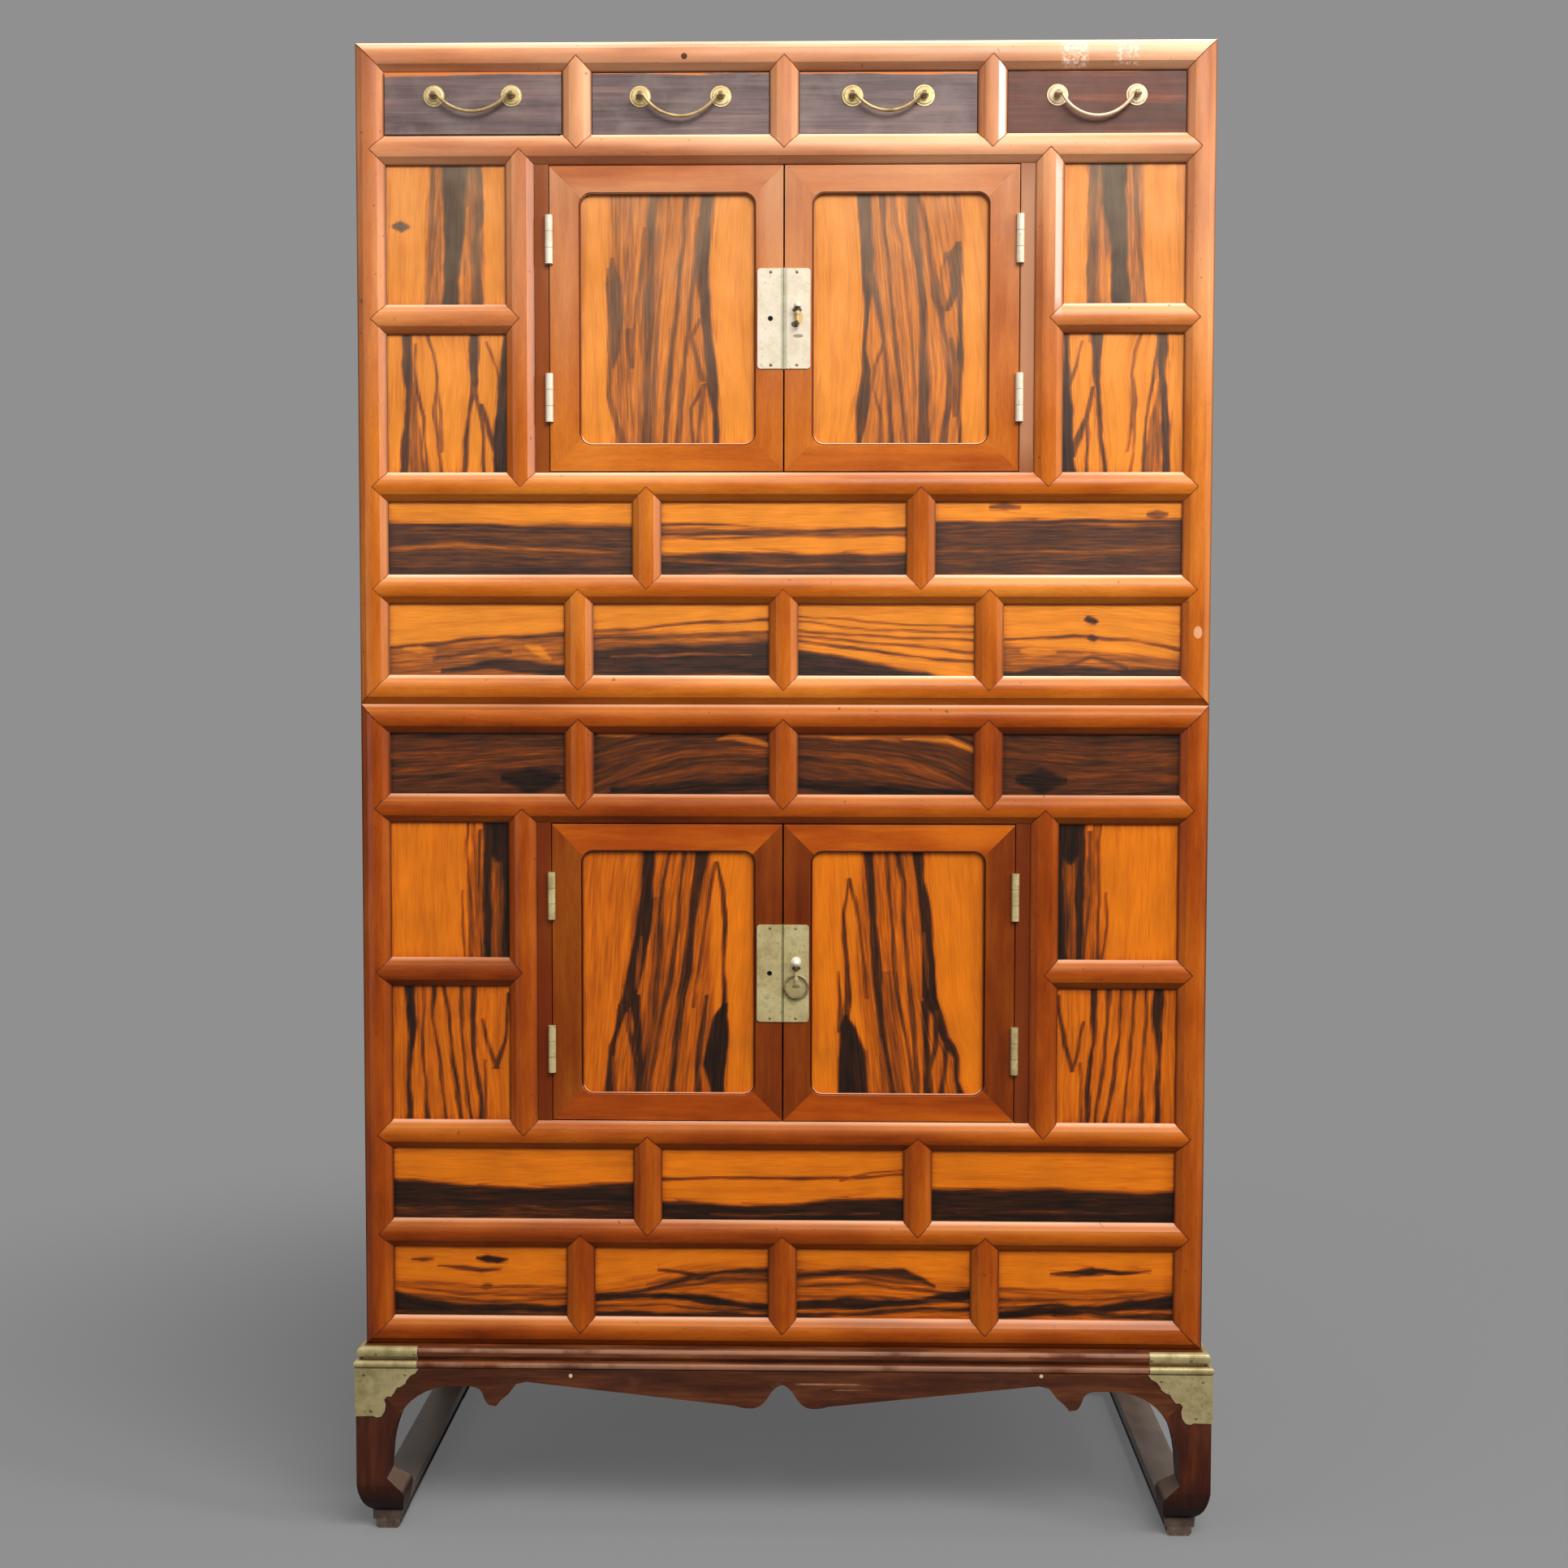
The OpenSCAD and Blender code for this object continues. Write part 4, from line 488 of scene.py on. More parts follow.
ROW_B = {"upper": (B_UPPER_LEFT, B_UPPER_MIDDLE, B_UPPER_RIGHT)}
ROW_C = {"upper": (C_UPPER_1, C_UPPER_2, C_UPPER_3, C_UPPER_4)}
print("upper small boards:", [len(strokes) for strokes in ROW_B["upper"] + ROW_C["upper"]], "strokes")

# %% Strokes of the dark boards at the top of the lower case
A_LOWER_1 = [
    (0.70, [(0, 0.5, 0.6), (1, 0.5, 0.6)]),
    (0.55, [(0, 0.40, 0.05), (0.5, 0.34, 0.07), (1, 0.25, 0.05)]),
    (0.58, [(0, 0.68, 0.05), (0.5, 0.55, 0.07), (1, 0.45, 0.05)]),
    (0.98, [(0.64, 0.75, 0.05), (0.80, 0.80, 0.24), (0.97, 0.75, 0.06)]),
]
A_LOWER_2 = [
    (0.70, [(0, 0.5, 0.6), (1, 0.5, 0.6)]),
    (0.15, [(0.02, 0.02, 0.03), (0.20, 0.03, 0.05), (0.32, 0.02, 0.02)]),
    (0.12, [(0.70, 0.12, 0.01), (0.80, 0.05, 0.05), (1, 0.20, 0.05)]),
    (0.50, [(0, 0.85, 0.03), (0.25, 0.55, 0.07), (0.5, 0.35, 0.06), (0.75, 0.28, 0.05), (1, 0.30, 0.03)]),
    (0.55, [(0, 1.0, 0.03), (0.3, 0.80, 0.06), (0.6, 0.60, 0.06), (1, 0.55, 0.05)]),
    (0.92, [(0.1, 0.95, 0.05), (0.5, 0.90, 0.10), (1, 0.80, 0.08)]),
]
A_LOWER_3 = [
    (0.70, [(0, 0.5, 0.6), (1, 0.5, 0.6)]),
    (0.10, [(0, 0.0, 0.05), (0.2, 0.03, 0.07), (0.45, 0.02, 0.04), (0.7, 0.05, 0.08), (0.85, 0.08, 0.09),
            (1, 0.28, 0.05)]),
    (0.50, [(0, 0.30, 0.03), (0.3, 0.35, 0.06), (0.6, 0.50, 0.06), (0.85, 0.75, 0.05), (1, 0.95, 0.03)]),
    (0.56, [(0, 0.50, 0.04), (0.4, 0.60, 0.06), (0.8, 0.85, 0.05), (1, 1.0, 0.03)]),
    (0.92, [(0, 0.85, 0.08), (0.5, 0.90, 0.10), (1, 1.0, 0.05)]),
]
A_LOWER_4 = [
    (0.70, [(0, 0.5, 0.6), (1, 0.5, 0.6)]),
    (0.57, [(0, 0.30, 0.05), (0.5, 0.42, 0.06), (1, 0.36, 0.05)]),
    (0.58, [(0.3, 0.70, 0.05), (0.7, 0.62, 0.06), (1, 0.70, 0.05)]),
    (0.98, [(0.08, 0.75, 0.05), (0.22, 0.78, 0.22), (0.36, 0.75, 0.05)]),
]
ROW_A = (A_LOWER_1, A_LOWER_2, A_LOWER_3, A_LOWER_4)
print("dark boards:", [len(strokes) for strokes in ROW_A], "strokes")

# %% Strokes of the lower case's small boards
B_LOWER_LEFT = [
    (0.92, [(0, 0.66, 0.20), (0.3, 0.68, 0.17), (0.6, 0.72, 0.14), (1, 0.68, 0.18)]),
    (0.74, [(0, 0.93, 0.09), (1, 0.93, 0.09)]),
]
B_LOWER_MIDDLE = [
    (0.58, [(0, 0.41, 0.020), (0.4, 0.42, 0.020), (0.79, 0.41, 0.020), (1, 0.33, 0.020)]),
    (0.50, [(0.74, 0.42, 0.012), (0.87, 0.30, 0.016), (1, 0.28, 0.012)]),
    (0.94, [(0, 0.88, 0.13), (0.35, 0.91, 0.11), (0.7, 0.86, 0.16), (1, 0.87, 0.15)]),
    (0.50, [(0.2, 0.92, 0.014), (0.6, 0.93, 0.018), (0.9, 0.90, 0.012)]),
]
B_LOWER_RIGHT = [
    (0.93, [(0, 0.80, 0.24), (0.5, 0.79, 0.24), (1, 0.80, 0.24)]),
    (0.66, [(0.1, 0.88, 0.014), (0.5, 0.84, 0.018), (0.9, 0.88, 0.012)]),
]
C_LOWER_1 = [
    (0.22, [(0, 0.80, 0.30), (1, 0.85, 0.22)]),
    (0.55, [(0.1, 0.19, 0.01), (0.16, 0.19, 0.03), (0.22, 0.19, 0.01)]),
    (0.95, [(0.48, 0.19, 0.006), (0.54, 0.19, 0.05), (0.60, 0.20, 0.05), (0.66, 0.18, 0.006)]),
    (0.66, [(0.25, 0.30, 0.006), (0.40, 0.30, 0.03), (0.50, 0.33, 0.03), (0.62, 0.31, 0.006)]),
    (0.60, [(0.50, 0.59, 0.02), (0.53, 0.59, 0.04), (0.56, 0.59, 0.02)]),
    (0.42, [(0, 0.50, 0.014), (0.5, 0.60, 0.018), (1, 0.58, 0.014)]),
    (0.50, [(0, 0.60, 0.016), (0.4, 0.70, 0.020), (1, 0.68, 0.016)]),
    (0.55, [(0, 0.70, 0.020), (0.5, 0.78, 0.020), (1, 0.77, 0.016)]),
    (0.97, [(0, 0.80, 0.14), (0.2, 0.86, 0.10), (0.5, 0.93, 0.06), (1, 0.90, 0.06)]),
    (0.75, [(0, 0.98, 0.05), (0.5, 1.0, 0.04), (1, 1.0, 0.05)]),
]
C_LOWER_2 = [
    (0.18, [(0, 0.80, 0.22), (0.5, 0.65, 0.35), (1, 0.60, 0.40)]),
    (0.45, [(0.3, 0.55, 0.02), (0.6, 0.42, 0.07), (1, 0.42, 0.08)]),
    (0.85, [(0.36, 0.31, 0.008), (0.5, 0.34, 0.03), (0.6, 0.40, 0.045), (0.68, 0.36, 0.02)]),
    (0.80, [(0, 0.70, 0.020), (0.3, 0.60, 0.025), (0.55, 0.44, 0.03), (0.75, 0.35, 0.028), (1, 0.34, 0.03)]),
    (0.60, [(0, 0.76, 0.014), (0.5, 0.56, 0.020), (0.8, 0.46, 0.02), (1, 0.44, 0.02)]),
    (0.92, [(0, 0.75, 0.035), (0.4, 0.70, 0.04), (0.7, 0.76, 0.05), (1, 0.84, 0.05)]),
    (0.60, [(0, 0.86, 0.018), (0.4, 0.82, 0.02), (1, 0.94, 0.02)]),
    (0.85, [(0, 0.96, 0.04), (0.5, 0.98, 0.04), (1, 1.0, 0.04)]),
]
C_LOWER_3 = [
    (0.18, [(0, 0.60, 0.40), (0.5, 0.65, 0.35), (1, 0.75, 0.25)]),
    (0.50, [(0, 0.40, 0.06), (0.3, 0.36, 0.06), (0.6, 0.40, 0.08), (0.75, 0.48, 0.03)]),
    (0.80, [(0, 0.40, 0.02), (0.25, 0.32, 0.03), (0.45, 0.33, 0.05), (0.62, 0.36, 0.06), (0.72, 0.44, 0.03),
            (0.8, 0.55, 0.01)]),
    (0.60, [(0, 0.52, 0.018), (0.4, 0.52, 0.02), (0.7, 0.60, 0.02), (1, 0.66, 0.02)]),
    (0.95, [(0, 0.84, 0.06), (0.3, 0.80, 0.07), (0.6, 0.78, 0.05), (0.85, 0.68, 0.06), (1, 0.64, 0.06)]),
    (0.60, [(0, 0.70, 0.016), (0.5, 0.68, 0.02), (1, 0.78, 0.02)]),
    (0.75, [(0, 0.97, 0.04), (0.4, 0.92, 0.03), (1, 0.86, 0.03)]),
]
C_LOWER_4 = [
    (0.20, [(0, 0.80, 0.22), (1, 0.78, 0.26)]),
    (0.88, [(0.3, 0.32, 0.005), (0.42, 0.33, 0.03), (0.55, 0.31, 0.045), (0.7, 0.33, 0.03),
            (0.87, 0.31, 0.005)]),
    (0.60, [(0.3, 0.38, 0.005), (0.45, 0.37, 0.02), (0.6, 0.37, 0.005)]),
    (0.45, [(0, 0.58, 0.014), (0.5, 0.60, 0.018), (1, 0.55, 0.014)]),
    (0.55, [(0, 0.72, 0.02), (0.5, 0.70, 0.02), (1, 0.64, 0.02)]),
    (0.96, [(0, 0.93, 0.06), (0.3, 0.87, 0.05), (0.6, 0.86, 0.06), (0.85, 0.78, 0.07), (1, 0.74, 0.09)]),
    (0.75, [(0, 0.83, 0.02), (0.3, 0.80, 0.02), (0.6, 0.93, 0.04), (1, 0.95, 0.05)]),
]
ROW_B["lower"] = (B_LOWER_LEFT, B_LOWER_MIDDLE, B_LOWER_RIGHT)
ROW_C["lower"] = (C_LOWER_1, C_LOWER_2, C_LOWER_3, C_LOWER_4)
print("lower small boards:", [len(strokes) for strokes in ROW_B["lower"] + ROW_C["lower"]], "strokes")

# %% [markdown]
# ## Growing a board
#
# A board starts as a grid at the panel's front face, fine enough to carry the
# strokes, and is extruded back to the panel's own thickness. Two things are
# then kept at its corners. The UV map called grain holds a place along and
# across the grain, bent so that it follows the strokes. The attribute called
# heart says how dark the wood is there, and near fades out around each stroke.
# The finish later reads them: fine lines run with the strokes, growth rings
# crowd round them, and noise frays the edge of the dark heart.

# %% Painting strokes into numbers
GROOVE = 5.5 * MM  # how far a board reaches into the grooves around it
STEP = 1.6 * MM  # spacing of the corners that carry the strokes
SOFT = 1.5 * MM  # how softly a stroke ends at its sides
FULL_LENGTH, NARROW = (0.06, 0.94), 0.2  # narrow strokes of full length lead the fibres


def ripple(t, seed, size):
    """A slow wander to either side, made of four waves of (frequency, share)."""
    waves = ((5.1, 0.55), (11.7, 0.28), (23.9, 0.12), (47.0, 0.05))
    return size * sum(w * np.sin(f * t + seed * (1.7 + k) + 2.1 * k) for k, (f, w) in enumerate(waves))


def figure(along, across, strokes, seed, soft):
    """Darkness and nearness at each corner, and the strokes that lead the fibres."""
    heart, near = np.zeros_like(across), np.zeros_like(across)
    fibres = []
    for k, (dark, path) in enumerate(strokes):
        t, c, h = (np.array(column, float) for column in zip(*path))
        middle = np.interp(along, t, c) + ripple(along, seed + k, soft * 1.3)
        half = np.interp(along, t, h)
        half = half + ripple(along * 1.9, seed + 3 * k, 1) * np.minimum(half * 0.35, soft * 0.8)
        blur = soft * (1.3 + 15 * h.max())
        inside = (along >= t[0] - 0.004) & (along <= t[-1] + 0.004)
        edge = np.clip((half - np.abs(across - middle)) / blur + 0.5, 0, 1)
        cover = np.where(inside, edge * edge * (3 - 2 * edge), 0)
        heart = heart * (1 - cover) + dark * cover
        close = np.clip(1 - (np.abs(across - middle) - half) / (5 * soft), 0, 1)
        near = np.maximum(near, np.where(inside, close * dark * min(1, 25 * h.max()), 0))
        if t[0] < FULL_LENGTH[0] and t[-1] > FULL_LENGTH[1] and h.max() < NARROW:
            fibres.append((t, c))
    return heart, near, fibres


def fibre_lines(along, across, fibres):
    """Bend the places across the grain, so that each leading stroke becomes a straight line."""
    fibres = sorted(fibres, key=lambda f: f[1].mean())
    bent = across.copy()
    for t in np.unique(along):
        row = along == t
        here = [np.interp(t, f[0], f[1]) for f in fibres]
        at = np.maximum.accumulate(np.array([-0.3] + here + [1.3]))
        to = np.array([-0.3] + [f[1].mean() for f in fibres] + [1.3])
        bent[row] = np.interp(across[row], at + np.arange(len(at)) * 1e-4, to)
    return bent


print("ripple at the ends of a board:", round(float(ripple(0, 1, 1)), 3), round(float(ripple(1, 1, 1)), 3))

# %% Making one board
RIM_SHADE_AND_DIRT, RIM_REACH = 0.16, 3 * MM
SHIFT = (0.613, 0.137)  # keeps the grain of one board from being the grain of the next


def grow(name, box, strokes, body, seed, level=False, mirrored=False):
    low, high = (Vector(corner) for corner in box)
    size = high - low
    seen_x, seen_z = size.x - 2 * GROOVE, size.z - 2 * GROOVE
    breadth = seen_z if level else seen_x
    bpy.ops.object.select_all(action="DESELECT")
    bpy.ops.mesh.primitive_grid_add(
        x_subdivisions=round(size.x / STEP), y_subdivisions=round(size.z / STEP), size=1,
        location=((low.x + high.x) / 2, low.y, (low.z + high.z) / 2), rotation=(math.pi / 2, 0, 0))
    piece = bpy.context.object
    piece.name = name
    piece.scale = (size.x, size.z, 1)
    bpy.ops.object.transform_apply(location=True, rotation=True, scale=True)
    bpy.ops.object.mode_set(mode="EDIT")
    bpy.ops.mesh.select_mode(type="EDGE")
    bpy.ops.mesh.select_all(action="DESELECT")
    bpy.ops.mesh.select_non_manifold()
    bpy.ops.mesh.extrude_edges_move(TRANSFORM_OT_translate={"value": (0, size.y, 0)})
    bpy.ops.mesh.edge_face_add()
    bpy.ops.mesh.select_all(action="SELECT")
    bpy.ops.mesh.normals_make_consistent(inside=False)
    bpy.ops.object.mode_set(mode="OBJECT")

    mesh = piece.data
    at = np.empty(len(mesh.vertices) * 3)
    mesh.vertices.foreach_get("co", at)
    x, _, z = at.reshape(-1, 3).T
    from_left = np.round((x - low.x - GROOVE) / seen_x, 5)
    from_top = np.round((high.z - GROOVE - z) / seen_z, 5)
    if mirrored:
        from_left = np.round(1 - from_left, 5)
    along, across = (from_left, from_top) if level else (from_top, from_left)
    heart, near, fibres = figure(along, across, strokes, seed, SOFT / breadth)
    # The rim of every board is darker: painted shade beside the moulding, and the oil and dirt gathered
    # there.
    from_side = np.minimum(from_left, 1 - from_left) * seen_x
    from_end = np.minimum(from_top, 1 - from_top) * seen_z
    rim = np.minimum(from_side, from_end)
    heart = heart + RIM_SHADE_AND_DIRT * np.exp(-np.maximum(rim, 0) / RIM_REACH)
    bent = fibre_lines(along, across, fibres)
    length = size.x if level else size.z
    grain = np.stack([along * length + seed * SHIFT[0], bent * breadth + seed * SHIFT[1]], 1)

    corners = np.empty(len(mesh.loops), int)
    mesh.loops.foreach_get("vertex_index", corners)
    while mesh.uv_layers:
        mesh.uv_layers.remove(mesh.uv_layers[0])
    mesh.uv_layers.new(name="grain").data.foreach_set("uv", grain[corners].ravel())
    mesh.attributes.new("heart", "FLOAT", "POINT").data.foreach_set("value", heart)
    mesh.attributes.new("near", "FLOAT", "POINT").data.foreach_set("value", near)
    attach(piece, body)
    return piece


print("a board's corners are", STEP / MM, "mm apart")

# %% The boards of both cases
PLACES = ("column_low_left", "column_low_right", "column_top_left", "column_top_right")
boards = []
for case, first in (("upper", 0), ("lower", 11)):
    plan = [(f"row_c_{k + 1}", strokes, True) for k, strokes in enumerate(ROW_C[case])]
    plan += [(f"row_b_{k + 1}", strokes, True) for k, strokes in enumerate(ROW_B[case])]
    plan += [(place, strokes, False) for place, strokes in zip(PLACES, COLUMNS[case])]
    node = case + "_front_panels"
    for k, ((place, strokes, level), box) in enumerate(zip(plan, solids(node))):
        board = grow(f"{case}_{place}_board", box, strokes, "chest", first + k, level,
                     mirrored=place.endswith("right"))
        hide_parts(node)
        boards.append(board)
for k, (strokes, box) in enumerate(zip(ROW_A, solids("lower_dark_panels"))):
    board = grow(f"lower_row_a_{k + 1}_board", box, strokes, "chest", 30 + k, level=True)
    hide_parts("lower_dark_panels")
    boards.append(board)
for k, (door, strokes) in enumerate((("upper_left_door", DOOR_UPPER_LEFT),
                                     ("upper_right_door", DOOR_UPPER_RIGHT),
                                     ("lower_left_door", DOOR_LOWER_LEFT),
                                     ("lower_right_door", DOOR_LOWER_RIGHT))):
    board = grow(door + "_board", solids(door + "_panel")[0], strokes, door, 40 + k)
    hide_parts(door + "_panel")
    boards.append(board)
print(len(boards), "boards with", sum(len(b.data.vertices) for b in boards), "corners")

# %% [markdown]
# ## The finish of the figured boards
#
# The wood is oiled and rubbed, so it is satin, with a soft second gloss on top.
# The colour comes in three layers: the darkness kept in the board, frayed by
# streaky noise and turned into orange, brown or black by one colour ramp; broad
# bands a few millimetres wide; and fine lines along the fibres. Real fibres are
# finer than a picture of the whole chest can show, so they are drawn about half
# a millimetre wide, and a streak's two numbers are how often it repeats in a
# metre, along the grain and across it.

# %% Figured persimmon
def persimmon(name, shades, offcut, top_sheen=0.0):
    material, tree = new_material(name)
    grain = add(tree, "UVMap", uv_map="grain")
    heart = add(tree, "Attribute", attribute_name="heart").outputs["Fac"]

    def streaks(along, across, detail, shift):
        at = add(tree, "VectorMath", grain, (along, across, 1), (shift, shift * 1.7, offcut),
                 operation="MULTIPLY_ADD")
        return add(tree, "TexNoise", {"Vector": at, "Scale": 1.0, "Detail": detail, "Roughness": 0.6})

    fray = streaks(26, 420, 5, 3.1)
    bands = streaks(7, 130, 3, 11.3)
    fibres = streaks(30, 1700, 3, 23.9)
    blotch = streaks(14, 26, 2, 41.2)
    # The edge of the heart frays; its middle and the clear wood stay as they are.
    loose = add(tree, "MapRange", fray, 0.3, 0.7, -0.13, 0.13)
    thin = add(tree, "MapRange", heart, 0.0, 0.3, 0.25, 1.6)
    dark = add(tree, "Math", loose, thin, heart, operation="MULTIPLY_ADD")
    band = add(tree, "MapRange", bands, 0.35, 0.65, -0.07, 0.08)
    dark = add(tree, "Math", dark, band, operation="ADD")
    # Growth rings: contour lines of slow noise, only close to the strokes.
    rings = add(tree, "Math", streaks(2.2, 75, 1, 57.0), 14.0, operation="MULTIPLY")
    rings = add(tree, "Math", rings, operation="FRACT")
    rings = add(tree, "MapRange", rings, 0.0, 0.35, 0.42, 0.0)
    near = add(tree, "Attribute", attribute_name="near").outputs["Fac"]
    rings = add(tree, "Math", rings, near, operation="MULTIPLY")
    rings = add(tree, "Math", dark, 0.55, rings, operation="MULTIPLY_ADD")
    dark = add(tree, "Math", dark, 0.92, operation="MULTIPLY")
    dark = add(tree, "Math", dark, rings, operation="MAXIMUM")
    colour = add(tree, "ValToRGB", dark, stops=shades)
    line = add(tree, "MapRange", fibres, 0.35, 0.6, 0.80, 1.06)
    cloud = add(tree, "MapRange", blotch, 0.3, 0.7, 0.84, 1.08)
    both = add(tree, "Math", line, cloud, operation="MULTIPLY")
    colour = add(tree, "VectorMath", {0: colour, 3: both}, operation="SCALE")
    if top_sheen:
        # Painted sheen: the boards turn lighter and milkier towards the top of the case, where the light from
        # above reflects.
        height = add(tree, "SeparateXYZ", add(tree, "TexCoord").outputs["Object"]).outputs["Z"]
        top_sheen_mix = add(tree, "MapRange", height, 1.04, 1.38, 0.0, top_sheen)
        cloudy = add(tree, "MapRange", blotch, 0.35, 0.65, 0.5, 1.1)
        top_sheen_mix = add(tree, "Math", top_sheen_mix, cloudy, operation="MULTIPLY")
        colour = add(tree, "Mix", {0: top_sheen_mix, 6: colour, 7: linear("#B49C7C")}, data_type="RGBA")
    rough = add(tree, "MapRange", fray, 0.3, 0.7, 0.34, 0.46)
    bump = add(tree, "Bump", {"Height": fibres, "Strength": 0.25, "Distance": 0.0002})
    shader = add(tree, "BsdfPrincipled", {
        "Base Color": colour, "Roughness": rough, "Normal": bump,
        "Specular IOR Level": 0.22, "Coat Weight": 0.05, "Coat Roughness": 0.2})
    add(tree, "OutputMaterial", {"Surface": shader})
    return material


honey = persimmon("oiled_persimmon_honey", ((0, "#E08628"), (0.14, "#C87024"), (0.32, "#9A5424"),
                                            (0.52, "#6E4024"), (0.72, "#4A3026"), (1.0, "#28201E")), 2.0, 0.3)
amber = persimmon("oiled_persimmon_amber", ((0, "#D4700C"), (0.14, "#BE5C08"), (0.32, "#924208"),
                                            (0.52, "#64300C"), (0.72, "#381C0C"), (1.0, "#160D08")), 7.0)
umber = persimmon("oiled_persimmon_umber", ((0, "#D8801E"), (0.2, "#A8581A"), (0.45, "#74360F"),
                                            (0.6, "#542A12"), (0.8, "#30190D"), (1.0, "#100B08")), 13.0)
for board in boards:
    oil = umber if "row_a" in board.name else honey if board.name.startswith("upper") else amber
    board.data.materials.append(oil)
print("boards finished with", honey.name, amber.name, umber.name)

# %% [markdown]
# ## The finish of the frame
#
# Posts, rails and door frames are plain close-grained wood under the same oil.
# The grain has to run along each member, so the noise is stretched along x for
# a rail, along z for a post and along y for the side rails. Where a node holds
# both kinds, as a mitred door frame does, a small sum of the coordinates says
# which way the grain runs at each point. The groove where a moulding meets a
# board, which is a band of depth, gets painted shade, and so do the bevels that
# look down. Where the edge of that groove looks up, it is a pale painted
# highlight line instead.

# %% Marks left by use
MARKED_FROM = -0.185  # marks lie on the front, so nothing behind this depth is painted


def marked(tree, xyz, colour, marks, breakup):
    """Paint small worn, dusty or chipped places, and small painted highlights and shadows.

    Each is (x, z, half width, half height, colour, strength, broken). A place that isn't
    broken is an ellipse, and a broken one is a rectangle that noise above that value fills.
    """
    for x, z, half_x, half_z, code, strength, broken in marks:
        reach = []
        for axis, middle, half in (("X", x, half_x), ("Z", z, half_z)):
            off = add(tree, "Math", xyz.outputs[axis], -middle, operation="ADD")
            off = add(tree, "Math", off, operation="ABSOLUTE")
            reach.append(add(tree, "Math", off, half, operation="DIVIDE"))
        if broken:
            far = add(tree, "Math", reach[0], reach[1], operation="MAXIMUM")
        else:
            far = add(tree, "Math", reach[0], reach[0], operation="MULTIPLY")
            far = add(tree, "Math", reach[1], reach[1], far, operation="MULTIPLY_ADD")
        inside = add(tree, "MapRange", far, 1.1, 0.8)
        if broken:
            patch = add(tree, "MapRange", breakup, broken - 0.05, broken + 0.1)
            inside = add(tree, "Math", inside, patch, operation="MULTIPLY")
        near = add(tree, "Math", xyz.outputs["Y"], MARKED_FROM, operation="LESS_THAN")
        inside = add(tree, "Math", inside, near, operation="MULTIPLY")
        inside = add(tree, "Math", inside, strength, operation="MULTIPLY")
        colour = add(tree, "Mix", {0: inside, 6: colour, 7: linear(code)}, data_type="RGBA")
    return colour


print("marks lie in front of y", MARKED_FROM)

# %% Polished frame wood
GROOVE_Y = -0.1915  # depth of the line where a moulding meets a board
ALONG_GRAIN, ACROSS_GRAIN = 8, 75  # how often the figure repeats in a metre


